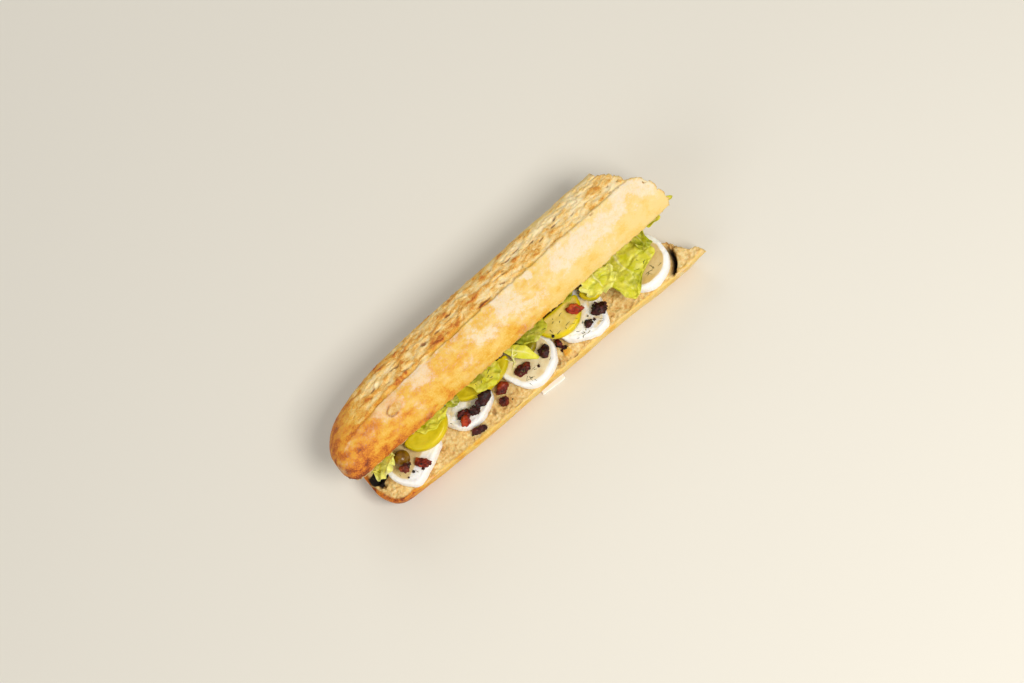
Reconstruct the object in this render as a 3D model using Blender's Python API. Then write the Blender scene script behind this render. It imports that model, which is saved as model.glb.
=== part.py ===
"""A half-baguette sandwich with goat's cheese, avocado, lettuce and dried tomato.

Units are metres and +Z is up. +X runs along the loaf from its rounded heel to its torn end, and the
open side faces -Y. The whole stands on z = 0, centred on its box.
"""

import math
import random

import bmesh
import bpy
import numpy as np
from mathutils import Vector, noise
from mathutils.bvhtree import BVHTree

MM = 0.001
GAP = 0.35 * MM

# Bottom half: a flat-based half loaf with its crumb on top
BOTTOM_HALF_WIDTH = 32.5 * MM
BOTTOM_MIDDLE_Y = 2 * MM
BOTTOM_ROUNDING = 0.88
BOTTOM_CUT_Z = 24 * MM
BOTTOM_DEPTH = 28 * MM
BOTTOM_HEEL_X = -142.6 * MM
BOTTOM_HEEL_Y = -2 * MM
BOTTOM_TORN_X = 130 * MM
BOTTOM_TORN_Y = [v * MM for v in (-34, -30, -26, -23, -18, -8, 5, 20, 34)]
BOTTOM_TORN_REACH = [v * MM for v in (140, 145, 142, 136, 131, 127, 120, 116, 113)]
RIM_BULGE_X = 108 * MM
RIM_BULGE_REACH = 20 * MM
RIM_BULGE = 2.5 * MM
BOTTOM_HEEL_PINCH = 0.07
BOTTOM_HEEL_PINCH_REACH = 80 * MM
BOTTOM_HEEL_DEPTH_SHARE = 0.35

# Rounded heels: the length of the rounding and how square it is, for each side of the outline
BOTTOM_HEEL_FRONT = (17 * MM, 2.3)
BOTTOM_HEEL_BACK = (40 * MM, 2.4)
BOTTOM_HEEL_UNDER = (30 * MM, 2.2)
LID_HEEL_FRONT = (14 * MM, 2.4)
LID_HEEL_BACK = (150 * MM, 3.0)
LID_HEEL_OVER = (95 * MM, 2.8)

# Lid: a half loaf set back on the filling, its cut face leaning back
LID_WIDTH = 65 * MM
LID_HEIGHT = 32.5 * MM
LID_FRONT_Y = -4.1 * MM
LID_FRONT_Z = 48 * MM
LID_TILT = math.radians(22)
LID_HEEL_X = -150.2 * MM
LID_HEEL_ACROSS = 22 * MM
LID_TORN_X = 132 * MM
LID_TORN_TURN = [math.radians(v) for v in (0, 23, 36, 60, 64, 74, 90, 110, 180)]
LID_TORN_REACH = [v * MM for v in (143.5, 148.7, 146, 140, 133, 133, 126, 119, 115)]
LID_YAW = 0.02
LID_YAW_FROM_X = -50 * MM
LID_ROUNDING = 0.94

# The one long slash along the lid and the raised ear in front of it
EAR_TURN = math.radians(61.5)
SLASH_END_TURN = math.radians(128)
SLASH_DEPTH = 2.2 * MM
EAR_HEIGHT = 1.3 * MM
EAR_REACH = math.radians(9)
EAR_STEP = math.radians(2.5)
EAR_FRONT_POINTS = 8
SLASH_START_X = -134 * MM
SLASH_START_REACH = 30 * MM
SLASH_BACK_REACH = math.radians(35)
BLISTER_HEIGHT = 0.8 * MM
BLISTER_SPAN = 7 * MM

# How finely the loaf is divided
ARC_POINTS = 22
CUT_POINTS = 9
STATION_STEP = 7.6 * MM
HEEL_STATIONS = [v * MM for v in (0.5, 2, 5, 9, 14, 20, 27)]
TORN_BLEND = 55 * MM
TORN_RING_SHARES = (0.72, 0.36)
TORN_CRUMB_DEPTH = 5 * MM
TORN_CRUMB_SPAN = 6 * MM
TORN_UNDERCUT = 0.1
JAG_LUMPS = 1.8 * MM
JAG_TEETH = 1.0 * MM

# Uneven baking: how far the crust swells and over what span
BOTTOM_SWELL = (0.6 * MM, 20 * MM)
LID_SWELL = (0.8 * MM, 22 * MM)
CUT_EDGE_SWELL = (1.5 * MM, 5 * MM)

# Crumb hollows in the cut faces
CRUMB_SAG = 0.5 * MM
CRUMB_HOLLOW = 2.6 * MM
CRUMB_HOLLOW_SPAN = 10 * MM
LID_HOLLOW_OFFSET = 90 * MM
POCKET_CENTRE = (-134.4 * MM, -1.0 * MM)
POCKET_REACH = (6.8 * MM, 4.8 * MM)
POCKET_DEPTH = 12 * MM

# Cheese slices: x, y, radius, thickness, then the straight cuts as turn in degrees and distance
CHEESES = (
    (-104, -9.8, 22.0, 10.0, ((294, 15.5),)),
    (-52.6, -2.0, 21.0, 9.6, ()),
    (0, -10.4, 21.5, 10.0, ((203, 19.7),)),
    (48, -11.6, 20.6, 9.8, ((238, 17.2), (340, 18.6))),
    (103.4, -10.4, 21.2, 10.0, ()),
)
CHEESE_POINTS = 30
CHEESE_SOFT = 1.1 * MM

# Avocado slices: x, y, half length, reach to the front, reach to the back, turn in degrees
AVOCADOS = (
    (-85.8, -1.5, 19.0, 16.6, 2, 6),
    (-33, -1, 24.2, 11.4, 1.5, -2),
    (4, -1, 11.3, 12.2, 1.5, 0),
    (36, -1, 19.2, 19.2, 1.5, 0),
    (64.5, -3, 8.4, 10.4, 2, 4),
)
AVOCADO_THICK = 7.4 * MM
AVOCADO_SOFT = 1.6 * MM
AVOCADO_POINTS = 20

# Dried tomato pieces: x, y, half sizes along, across and up, turn in degrees. The first lie on the crumb.
TOMATOES_ON_CRUMB = (
    (-58.0, -26.0, 6.4, 2.4, 2.6, -4),
    (-26.8, -13.4, 5.0, 4.2, 3.6, 20),
    (24.4, -16.6, 1.9, 4.6, 3.4, 5),
    (-31.2, -20.9, 4.4, 3.2, 3.6, 35),
)
TOMATOES_ON_FILLING = (
    (-112.4, -18.4, 4.2, 2.6, 2.0, -5),
    (-101.8, -20.8, 6.4, 3.4, 2.6, -38),
    (-58.2, -13.6, 6.4, 3.4, 2.8, -14),
    (-50.8, -17.6, 4.3, 3.0, 2.6, -25),
    (-40.8, -17.0, 7.4, 4.0, 3.2, 14),
    (-7.2, -16.4, 6.8, 4.0, 2.7, -8),
    (12.4, -16.4, 5.4, 4.0, 3.0, 12),
    (47.6, -10.8, 7.2, 3.4, 2.5, -38),
    (48.4, -21.8, 3.4, 3.1, 1.9, 0),
    (61.2, -19.6, 6.8, 5.0, 3.4, -28),
    (-60.2, -19.4, 3.9, 3.3, 2.6, 40),
)
LUMP_FLAT = 0.6
LUMP_SWELLS = ((0.42, 1.5), (0.30, 3.4), (0.16, 6.4))

OLIVE_CENTRE = (-111.3 * MM, -10.0 * MM)
OLIVE_RADIUS = 6.5 * MM
OLIVE_FLAT = 0.92
OLIVE_SKEW = 0.05
OLIVE_SEAT = 0.7

# Lettuce: root x, y, tip x, y, width, width share at the root and at the tip, share of the room up to the
# lid that it is lifted by, ruffle height, waves along it, rows, columns
LETTUCES = (
    (-98, 31, -96, 6, 17, 0.8, 0.7, 0.3, 8.0, 2.5, 7, 6),
    (-118, 31, -124.5, -15.5, 21, 0.8, 0.95, 0.1, 9.0, 3.5, 12, 10),
    (-80, 33, -76, -12.5, 29, 0.9, 0.85, 0.2, 4.0, 3.0, 12, 10),
    (-35, 34, -28.5, -17.5, 27, 0.9, 0.85, 0.05, 5.0, 3.5, 12, 9),
    (16, 35, 14, -12.0, 30, 0.9, 0.75, 0.2, 4.0, 3.0, 11, 9),
    (-8, 2, 7.5, -20.5, 9, 0.6, 0.3, 0.0, 1.0, 1.5, 10, 4),
    (46, 34, 49.5, -5.2, 16, 0.9, 0.7, 0.3, 5.0, 2.5, 9, 7),
    (99, 31, 84.5, -33.0, 52, 0.35, 0.28, 0.0, 3.2, 3.0, 16, 12),
    (72, 1, 73.0, -18.5, 27, 0.6, 0.95, 0.0, 7.0, 2.0, 9, 11),
    (112, 23, 114.5, -11.0, 12, 0.8, 0.8, 0.1, 4.0, 3.0, 10, 6),
    (122, 15, 150.5, 6.5, 12, 0.9, 0.25, 0.9, 2.5, 3.0, 9, 5),
    (121, 4, 134.5, -1.8, 7, 0.9, 0.4, 0.9, 1.0, 1.5, 6, 4),
    (-58.6, 1, -58.4, -9.0, 9, 0.9, 0.9, 0.2, 5.0, 2.0, 6, 6),
)
LEAF_THICK = 0.9 * MM
LEAF_SMOOTHING = 5
LEAF_DROOP = 0.5
LEAF_ROOM_SHARE = 0.6
LEAF_NARROWS_FROM = 0.64
LEAF_ROUND_TIP = 0.16
LEAF_EDGE_WAVE = 0.10
LEAF_CALM_MIDDLE = 0.25

# A flat sliver of cheese rind wedged under the front of the loaf
SLIVER_X = (-8 * MM, 12 * MM)
SLIVER_Y = (-27.6 * MM, -20.9 * MM)
SLIVER_THICK = 1.6 * MM
SLIVER_SKEW = 1.2 * MM

CRUST = (0.76, 0.38, 0.10)
LID_CRUST = (0.83, 0.50, 0.19)
CHEESE = (0.88, 0.83, 0.72)
RIND = (0.95, 0.93, 0.88)
AVOCADO = (0.60, 0.55, 0.06)
OLIVE = (0.18, 0.12, 0.02)
LETTUCE = (0.48, 0.52, 0.10)
TOMATO = (0.17, 0.02, 0.01)


def clear_scene():
    for obj in list(bpy.data.objects):
        bpy.data.objects.remove(obj, do_unlink=True)


def material(name, colour, roughness):
    made = bpy.data.materials.new(name)
    made.use_nodes = True
    shader = made.node_tree.nodes["Principled BSDF"]
    shader.inputs["Base Color"].default_value = (*colour, 1.0)
    shader.inputs["Roughness"].default_value = roughness
    shader.inputs["Metallic"].default_value = 0.0
    return made


def add_object(name, bm, colour, roughness, place=(0.0, 0.0, 0.0), turn=0.0):
    """A named object from a bmesh, with its own material, at its place."""
    bmesh.ops.recalc_face_normals(bm, faces=bm.faces)
    mesh = bpy.data.meshes.new(name)
    bm.to_mesh(mesh)
    bm.free()
    mesh.shade_smooth()
    mesh.materials.append(material(name, colour, roughness))
    obj = bpy.data.objects.new(name, mesh)
    obj.location = place
    obj.rotation_euler = (0.0, 0.0, turn)
    bpy.context.scene.collection.objects.link(obj)
    bpy.context.view_layer.update()
    return obj


def taper(distance, length, power):
    """0 at the tip of a rounded end, 1 from one length away."""
    left = 1.0 - min(max(distance / length, 0.0), 1.0)
    return (1.0 - left**power) ** (1.0 / power)


def ease(value, low, high):
    """A smooth step from 0 at low to 1 at high."""
    t = min(max((value - low) / (high - low), 0.0), 1.0)
    return t * t * (3.0 - 2.0 * t)


def bump(value, centre, reach):
    return math.exp(-(((value - centre) / reach) ** 2))


def rough(x, y, z, span):
    """Smooth noise from about -1 to 1, whose lumps are about one span across."""
    return noise.noise(Vector((x, y, z)) / span)


def loft(rings):
    """A closed skin over rings of equal length, with a fan at each end."""
    bm = bmesh.new()
    loops = [[bm.verts.new(point) for point in ring] for ring in rings]
    count = len(rings[0])
    for one, two in zip(loops, loops[1:]):
        for i in range(count):
            j = (i + 1) % count
            bm.faces.new((one[i], one[j], two[j], two[i]))
    for loop in (loops[0], loops[-1]):
        middle = sum((v.co for v in loop), Vector()) / count
        centre = bm.verts.new(middle)
        for i in range(count):
            bm.faces.new((loop[i], loop[(i + 1) % count], centre))
    return bm


def stations(heel_x, torn_x):
    """Places along the loaf, closer together at the round heel."""
    close = [heel_x + d for d in HEEL_STATIONS]
    steps = round((torn_x - close[-1]) / STATION_STEP)
    even = [close[-1] + (torn_x - close[-1]) * i / steps for i in range(1, steps + 1)]
    return close + even


def torn_rings(ring, depth):
    """Two smaller rings inside a torn end, their crumb pulled in and out."""
    middle = sum((Vector(p) for p in ring), Vector()) / len(ring)
    rings = []
    for share in TORN_RING_SHARES:
        inner = []
        for point in ring:
            p = middle.lerp(Vector(point), share)
            p.x += depth * (rough(p.x, p.y, p.z, TORN_CRUMB_SPAN) - 0.5)
            inner.append(tuple(p))
        rings.append(inner)
    return rings


def jag(turn):
    """How far the torn edge stands in or out, in steps like broken crust."""
    return JAG_LUMPS * noise.noise(Vector((turn * 3.1, 0.3, 0.0))) + JAG_TEETH * math.sin(turn * 9.0)


def crumb_hollow(x, y):
    """Depth of the crumb under its cut plane."""
    depth = CRUMB_SAG
    depth += CRUMB_HOLLOW * max(0.0, rough(x, y, 0.0, CRUMB_HOLLOW_SPAN))
    return depth


def pocket(x, y):
    """The deep hole that the crumb has near the heel."""
    across = ((x - POCKET_CENTRE[0]) / POCKET_REACH[0]) ** 2
    along = ((y - POCKET_CENTRE[1]) / POCKET_REACH[1]) ** 2
    return POCKET_DEPTH * math.exp(-((across + along) ** 1.5))


def cut_share(i):
    """How far point i of a cut face is from the back edge to the front one, clear of both."""
    return (i + 0.45) / (CUT_POINTS - 0.1)


def bottom_ring(x):
    """One section of the bottom half: crust from the front rim round to the back, then the crumb."""
    distance = x - BOTTOM_HEEL_X
    bulge = RIM_BULGE * bump(x, RIM_BULGE_X, RIM_BULGE_REACH)
    pinch = BOTTOM_HEEL_PINCH * (1.0 - ease(distance, 0.0, BOTTOM_HEEL_PINCH_REACH))
    front_full = BOTTOM_MIDDLE_Y - BOTTOM_HALF_WIDTH * (1.0 - pinch) - bulge
    back_full = BOTTOM_MIDDLE_Y + BOTTOM_HALF_WIDTH
    front = BOTTOM_HEEL_Y + (front_full - BOTTOM_HEEL_Y) * taper(distance, *BOTTOM_HEEL_FRONT)
    back = BOTTOM_HEEL_Y + (back_full - BOTTOM_HEEL_Y) * taper(distance, *BOTTOM_HEEL_BACK)
    under = taper(distance, *BOTTOM_HEEL_UNDER)
    depth = BOTTOM_DEPTH * (BOTTOM_HEEL_DEPTH_SHARE + (1.0 - BOTTOM_HEEL_DEPTH_SHARE) * under)
    middle, half = (front + back) / 2, (back - front) / 2
    blend = ease(x, BOTTOM_TORN_X - TORN_BLEND, BOTTOM_TORN_X)
    ring = []
    for i in range(ARC_POINTS + 1):
        turn = math.pi * i / ARC_POINTS
        c, s = math.cos(turn), max(math.sin(turn), 0.0)
        y = middle - half * math.copysign(abs(c) ** BOTTOM_ROUNDING, c)
        sunk = depth * s**BOTTOM_ROUNDING
        swell = BOTTOM_SWELL[0] * rough(x, y, -sunk, BOTTOM_SWELL[1]) * s
        z = max(BOTTOM_CUT_Z - sunk + swell, 0.0)
        reach = float(np.interp(y, BOTTOM_TORN_Y, BOTTOM_TORN_REACH)) - BOTTOM_TORN_X
        reach += jag(turn) - TORN_UNDERCUT * (BOTTOM_CUT_Z - z)
        ring.append((x + blend * reach, y, z))
    for i in range(CUT_POINTS):
        share = cut_share(i)
        y = back + (front - back) * share
        reach = float(np.interp(y, BOTTOM_TORN_Y, BOTTOM_TORN_REACH)) - BOTTOM_TORN_X
        reach += CUT_EDGE_SWELL[0] * rough(x, y, 0.0, CUT_EDGE_SWELL[1])
        px = x + blend * reach
        inside = ease(distance, 0.5 * MM, 5 * MM)
        ring.append((px, y, BOTTOM_CUT_Z - crumb_hollow(px, y) - inside * pocket(px, y)))
    return ring


def lid_point(x, across, out):
    """A point of the lid from its place across the cut face and its height off that face."""
    y = LID_FRONT_Y + across * math.cos(LID_TILT) + out * math.sin(LID_TILT)
    z = LID_FRONT_Z - across * math.sin(LID_TILT) + out * math.cos(LID_TILT)
    return (x, y + LID_YAW * (x - LID_YAW_FROM_X), z)


def lid_turns():
    """Turns round the crust from the front edge to the back, with two close together at the ear."""
    back_count = ARC_POINTS - EAR_FRONT_POINTS - 1
    front = [EAR_TURN * i / EAR_FRONT_POINTS for i in range(EAR_FRONT_POINTS + 1)]
    low = EAR_TURN + EAR_STEP
    back = [low + (math.pi - low) * i / back_count for i in range(back_count + 1)]
    return front + back


def slash_relief(x, turn):
    """Radial offset of the crust: the ear stands up and the slash behind it lies low."""
    fade = ease(x, SLASH_START_X, SLASH_START_X + SLASH_START_REACH)
    past = turn - EAR_TURN
    if past <= 0.0:
        return fade * EAR_HEIGHT * math.exp(past / EAR_REACH)
    deep = 1.0 - ease(turn, SLASH_END_TURN - SLASH_BACK_REACH, SLASH_END_TURN)
    blisters = BLISTER_HEIGHT * rough(x, turn * LID_HEIGHT, 0.0, BLISTER_SPAN)
    return fade * (deep * (blisters - SLASH_DEPTH))


def lid_ring(x):
    """One section of the lid: crust from the front edge over to the back, then the cut face."""
    distance = x - LID_HEEL_X
    front = LID_HEEL_ACROSS * (1.0 - taper(distance, *LID_HEEL_FRONT))
    back = LID_HEEL_ACROSS + (LID_WIDTH - LID_HEEL_ACROSS) * taper(distance, *LID_HEEL_BACK)
    height = LID_HEIGHT * taper(distance, *LID_HEEL_OVER)
    middle, half = (front + back) / 2, (back - front) / 2
    blend = ease(x, LID_TORN_X - TORN_BLEND, LID_TORN_X)
    ring = []
    for turn in lid_turns():
        c, s = math.cos(turn), max(math.sin(turn), 0.0)
        reach = float(np.interp(turn, LID_TORN_TURN, LID_TORN_REACH)) - LID_TORN_X + jag(turn)
        swell = LID_SWELL[0] * rough(x, c * half, s * height, LID_SWELL[1]) + slash_relief(x, turn)
        out_share = 1.0 + s * swell / max(half, 1 * MM)
        across = middle - half * c * out_share
        ring.append(lid_point(x + blend * reach, across, height * s**LID_ROUNDING * out_share))
    for i in range(CUT_POINTS):
        share = cut_share(i)
        across = back + (front - back) * share
        reach = float(np.interp(1.0 - share, (0.0, 1.0), (LID_TORN_REACH[0], LID_TORN_REACH[-1])))
        reach += CUT_EDGE_SWELL[0] * rough(x, across, 3.0, CUT_EDGE_SWELL[1]) - LID_TORN_X
        px = x + blend * reach
        ring.append(lid_point(px, across, crumb_hollow(px, across + LID_HOLLOW_OFFSET)))
    return ring


def bread(name, ring_at, heel_x, torn_x, colour):
    rings = [ring_at(x) for x in stations(heel_x, torn_x)]
    rings += torn_rings(rings[-1], TORN_CRUMB_DEPTH)
    return add_object(name, loft(rings), colour, 0.75)


class Pile:
    """The food laid so far, asked for its height at a place."""

    def __init__(self):
        self.trees = []

    def add(self, obj):
        bm = bmesh.new()
        bm.from_mesh(obj.data)
        bm.transform(obj.matrix_world)
        self.trees.append(BVHTree.FromBMesh(bm))
        bm.free()

    def top(self, x, y):
        """The highest surface at x, y, or a sloping fall past the loaf's sides."""
        best = BOTTOM_CUT_Z - LEAF_DROOP * max(abs(y - BOTTOM_MIDDLE_Y) - BOTTOM_HALF_WIDTH, 0.0)
        for tree in self.trees:
            hit = tree.ray_cast(Vector((x, y, 0.2)), Vector((0.0, 0.0, -1.0)))
            if hit[0] is not None:
                best = max(best, hit[0].z)
        return best

    def top_round(self, x, y, reach):
        """The highest surface within a reach of x, y."""
        best = self.top(x, y)
        for share in (0.5, 1.0):
            for i in range(8):
                turn = math.tau * i / 8
                step = share * reach * Vector((math.cos(turn), math.sin(turn)))
                best = max(best, self.top(x + step.x, y + step.y))
        return best


def slab_rings(outline, thick, soft, crown):
    """Rings of a thick slice with softened edges; the outline is round its own centre."""
    size = max(math.hypot(*point) for point in outline)
    inset = 1.0 - soft / size
    levels = (
        (inset, 0.0),
        (1.0, soft),
        (1.0, thick - soft),
        (inset, thick),
        (0.55, thick + crown),
    )
    return [[(x * share, y * share, z) for x, y in outline] for share, z in levels]


def cheese_outline(radius, cuts, seed):
    """A hand-cut round: a wobbly circle with straight cuts."""
    draw = random.Random(seed)
    phases = [draw.uniform(0.0, math.tau) for _ in range(3)]
    outline = []
    for i in range(CHEESE_POINTS):
        turn = math.tau * i / CHEESE_POINTS
        wobble = 0.012 * math.sin(2 * turn + phases[0]) + 0.012 * math.sin(5 * turn + phases[1])
        wobble += 0.008 * math.sin(8 * turn + phases[2])
        reach = radius * (1.0 + wobble)
        for cut_turn, cut_reach in cuts:
            facing = math.cos(turn - math.radians(cut_turn))
            if facing > 0.1:
                reach = min(reach, cut_reach * MM / facing)
        outline.append((reach * math.cos(turn), reach * math.sin(turn)))
    return outline


def cheeses(pile):
    for index, (x, y, radius, thick, cuts) in enumerate(CHEESES, start=1):
        outline = cheese_outline(radius * MM, cuts, index)
        rings = slab_rings(outline, thick * MM, CHEESE_SOFT, 0.0)
        place = (x * MM, y * MM, BOTTOM_CUT_Z + GAP)
        pile.add(add_object(f"cheese_{index}", loft(rings), CHEESE, 0.55, place))


def avocado_outline(half_length, front, back):
    """A half moon: a full curve to the front and a shallow one behind."""
    outline = []
    for i in range(AVOCADO_POINTS):
        turn = math.tau * i / AVOCADO_POINTS
        depth = back if math.sin(turn) > 0 else front
        outline.append((half_length * math.cos(turn), depth * math.sin(turn)))
    return outline


def avocados(pile):
    for index, (x, y, half_length, front, back, turn) in enumerate(AVOCADOS, start=1):
        outline = avocado_outline(half_length * MM, front * MM, back * MM)
        rings = slab_rings(outline, AVOCADO_THICK, AVOCADO_SOFT, -0.4 * MM)
        height = max(pile.top_round(x * MM, y * MM, share * half_length * MM) for share in (0.5, 1.0))
        place = (x * MM, y * MM, height + GAP)
        pile.add(add_object(f"avocado_{index}", loft(rings), AVOCADO, 0.4, place, math.radians(turn)))


def lump(half_sizes, seed, subdivisions):
    """A torn, dried lump with a flattened underside at z = 0."""
    bm = bmesh.new()
    bmesh.ops.create_icosphere(bm, subdivisions=subdivisions, radius=1.0)
    for vert in bm.verts:
        p = vert.co.copy()
        offset = Vector((seed * 7.3, 0.0, 0.0))
        swell = 1.0 + sum(share * noise.noise(p * pitch + offset) for share, pitch in LUMP_SWELLS)
        along, across, up = p * swell
        up = max(up, -LUMP_FLAT) + LUMP_FLAT
        vert.co = (along * half_sizes[0], across * half_sizes[1], up * half_sizes[2])
    return bm


def settled(bm, x, y, turn, pile):
    """The height that a piece's origin needs so that its lowest points clear what lies under them."""
    c, s = math.cos(turn), math.sin(turn)
    height = 0.0
    for vert in bm.verts:
        px, py = x + c * vert.co.x - s * vert.co.y, y + s * vert.co.x + c * vert.co.y
        height = max(height, pile.top(px, py) - vert.co.z)
    return height + GAP


def tomatoes(pile, table, first):
    for index, (x, y, along, across, up, turn) in enumerate(table, start=first):
        bm = lump((along * MM, across * MM, up * MM), index, 2)
        height = settled(bm, x * MM, y * MM, math.radians(turn), pile)
        place = (x * MM, y * MM, height)
        pile.add(add_object(f"tomato_{index}", bm, TOMATO, 0.25, place, math.radians(turn)))


def olive(pile):
    bm = bmesh.new()
    bmesh.ops.create_uvsphere(bm, u_segments=14, v_segments=9, radius=OLIVE_RADIUS)
    for vert in bm.verts:
        vert.co.x *= 1.0 + OLIVE_SKEW * vert.co.y / OLIVE_RADIUS
        vert.co.z = max(vert.co.z, -OLIVE_FLAT * OLIVE_RADIUS)
    height = pile.top_round(*OLIVE_CENTRE, OLIVE_SEAT * OLIVE_RADIUS)
    place = (*OLIVE_CENTRE, height + GAP + OLIVE_FLAT * OLIVE_RADIUS)
    pile.add(add_object("olive", bm, OLIVE, 0.3, place))


def lid_under(x, y):
    """Height of the lid's cut face over a place."""
    front = LID_FRONT_Y + LID_YAW * (x - LID_YAW_FROM_X)
    return LID_FRONT_Z - (y - front) * math.tan(LID_TILT)


def leaf_plan(leaf):
    """The leaf's grid of places seen from above, row by row from root to tip."""
    root_x, root_y, tip_x, tip_y, width, root_share, tip_share, _, _, waves, rows, columns = leaf
    root, tip = Vector((root_x, root_y)) * MM, Vector((tip_x, tip_y)) * MM
    run = (tip - root).normalized()
    side = Vector((-run.y, run.x))
    grid = []
    for i in range(rows):
        v = i / (rows - 1)
        share = root_share + (1.0 - root_share) * math.sin(math.pi * min(v * 1.5, 0.5))
        share += (tip_share - 1.0) * ease(v, LEAF_NARROWS_FROM, 1.0)
        row = []
        for j in range(columns):
            u = 2.0 * j / (columns - 1) - 1.0
            round_tip = LEAF_ROUND_TIP * u * u * width * MM * ease(v, 0.4, 1.0)
            edge = 1.0 + LEAF_EDGE_WAVE * abs(u) * math.sin(waves * math.tau * v + 2.0 * u)
            place = root.lerp(tip, v) + side * (u * share * edge * width * MM / 2) - run * round_tip
            row.append(place)
        grid.append(row)
    return grid


def leaf_floor(grid, pile):
    """The lowest height for each point of a leaf so that it clears all that lies under it."""
    cell_down = max((a - b).length for one, two in zip(grid, grid[1:]) for a, b in zip(one, two))
    cell_across = max((a - b).length for row in grid for a, b in zip(row, row[1:]))
    reach = math.hypot(cell_down, cell_across)
    return [[pile.top_round(p.x, p.y, reach) + GAP for p in row] for row in grid]


def relaxed(floor):
    """The floor with its steps spanned as a stiff leaf spans them."""
    rows, columns = len(floor), len(floor[0])
    height = [list(row) for row in floor]
    for _ in range(LEAF_SMOOTHING):
        last = [list(row) for row in height]
        for i in range(rows):
            for j in range(columns):
                near = [last[k][j] for k in (i - 1, i + 1) if 0 <= k < rows]
                near += [last[i][k] for k in (j - 1, j + 1) if 0 <= k < columns]
                height[i][j] = max(floor[i][j], sum(near) / len(near))
    return height


def lifted(under_lid, lift, ruffle):
    """How far a leaf rises off what lies under it, given the height left up to the lid."""
    room = under_lid - LEAF_THICK - 2 * GAP
    if room < 0.0:
        return room
    return lift * room + min(ruffle, LEAF_ROOM_SHARE * (1.0 - lift) * room)


def leaf_heights(leaf, index, grid, pile):
    """The underside of a leaf: draped on the pile, ruffled, and kept under the lid."""
    lift, ruffle, waves, rows, columns = leaf[7], leaf[8] * MM, leaf[9], leaf[10], leaf[11]
    height = relaxed(leaf_floor(grid, pile))
    for i in range(rows):
        for j in range(columns):
            u, v = 2.0 * j / (columns - 1) - 1.0, i / (rows - 1)
            outer = max(abs(u) ** 1.5, ease(v, 0.6, 1.0))
            edge = LEAF_CALM_MIDDLE + (1.0 - LEAF_CALM_MIDDLE) * outer
            wave = 0.5 + 0.5 * math.sin(waves * math.tau * (v + 0.35 * u) + 2.2 * index + 2.6 * u)
            height[i][j] += lifted(lid_under(*grid[i][j]) - height[i][j], lift, ruffle * edge * wave)
    return height


def leaf_solid(grid, height):
    """A thin solid whose two faces are split into triangles alike."""
    bm = bmesh.new()
    rows, columns = len(grid), len(grid[0])
    low, high = [], []
    for i in range(rows):
        low.append([bm.verts.new((*grid[i][j], height[i][j])) for j in range(columns)])
        high.append([bm.verts.new((*grid[i][j], height[i][j] + LEAF_THICK)) for j in range(columns)])
    for face in (low, high):
        for i in range(rows - 1):
            for j in range(columns - 1):
                bm.faces.new((face[i][j], face[i][j + 1], face[i + 1][j + 1]))
                bm.faces.new((face[i][j], face[i + 1][j + 1], face[i + 1][j]))
    border = [(0, j) for j in range(columns)]
    border += [(i, columns - 1) for i in range(1, rows)]
    border += [(rows - 1, j) for j in range(columns - 2, -1, -1)]
    border += [(i, 0) for i in range(rows - 2, 0, -1)]
    for (i, j), (k, m) in zip(border, border[1:] + border[:1]):
        bm.faces.new((low[i][j], low[k][m], high[k][m]))
        bm.faces.new((low[i][j], high[k][m], high[i][j]))
    return bm


def lettuces(pile):
    for index, leaf in enumerate(LETTUCES, start=1):
        grid = leaf_plan(leaf)
        height = leaf_heights(leaf, index, grid, pile)
        pile.add(add_object(f"lettuce_{index}", leaf_solid(grid, height), LETTUCE, 0.45))


def sliver():
    """A thin four-sided scrap on the ground, its front edge askew."""
    bm = bmesh.new()
    (left, right), (front, back) = SLIVER_X, SLIVER_Y
    corners = (
        (left, front + SLIVER_SKEW),
        (right, front),
        (right + SLIVER_SKEW, back),
        (left + SLIVER_SKEW, back),
    )
    low = [bm.verts.new((x, y, 0.0)) for x, y in corners]
    high = [bm.verts.new((x, y, SLIVER_THICK)) for x, y in corners]
    bm.faces.new(low)
    bm.faces.new(high)
    for i in range(4):
        j = (i + 1) % 4
        bm.faces.new((low[i], low[j], high[j], high[i]))
    add_object("cheese_sliver", bm, RIND, 0.6)


def centre_on_box():
    """Parents every piece to one empty that puts the box's bottom centre at the origin."""
    pieces = [obj for obj in bpy.data.objects if obj.type == "MESH"]
    points = [obj.matrix_world @ vert.co for obj in pieces for vert in obj.data.vertices]
    low = [min(p[axis] for p in points) for axis in range(3)]
    high = [max(p[axis] for p in points) for axis in range(3)]
    root = bpy.data.objects.new("sandwich", None)
    bpy.context.scene.collection.objects.link(root)
    for obj in pieces:
        obj.parent = root
    root.location = (-(low[0] + high[0]) / 2, -(low[1] + high[1]) / 2, -low[2])
    bpy.context.view_layer.update()


def main():
    clear_scene()
    pile = Pile()
    pile.add(bread("bread_bottom", bottom_ring, BOTTOM_HEEL_X, BOTTOM_TORN_X, CRUST))
    cheeses(pile)
    tomatoes(pile, TOMATOES_ON_CRUMB, 1)
    avocados(pile)
    olive(pile)
    tomatoes(pile, TOMATOES_ON_FILLING, 1 + len(TOMATOES_ON_CRUMB))
    lettuces(pile)
    bread("bread_lid", lid_ring, LID_HEEL_X, LID_TORN_X, LID_CRUST)
    sliver()
    centre_on_box()


main()
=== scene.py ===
"""Looks of a half-baguette sandwich: crust, crumb, cheese, avocado, lettuce, tomato and dill.

Metres, +Z up, in the frame's own coordinates. +X runs from the rounded heel to the torn end, and the open
side faces -Y. Each fine piece is made from its solid in the frame, so that it keeps that solid's form.
"""

import itertools
import math
import random

import bmesh
import bpy
import numpy as np
from mathutils import Matrix, Vector
from mathutils.bvhtree import BVHTree
from mathutils.kdtree import KDTree


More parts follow.
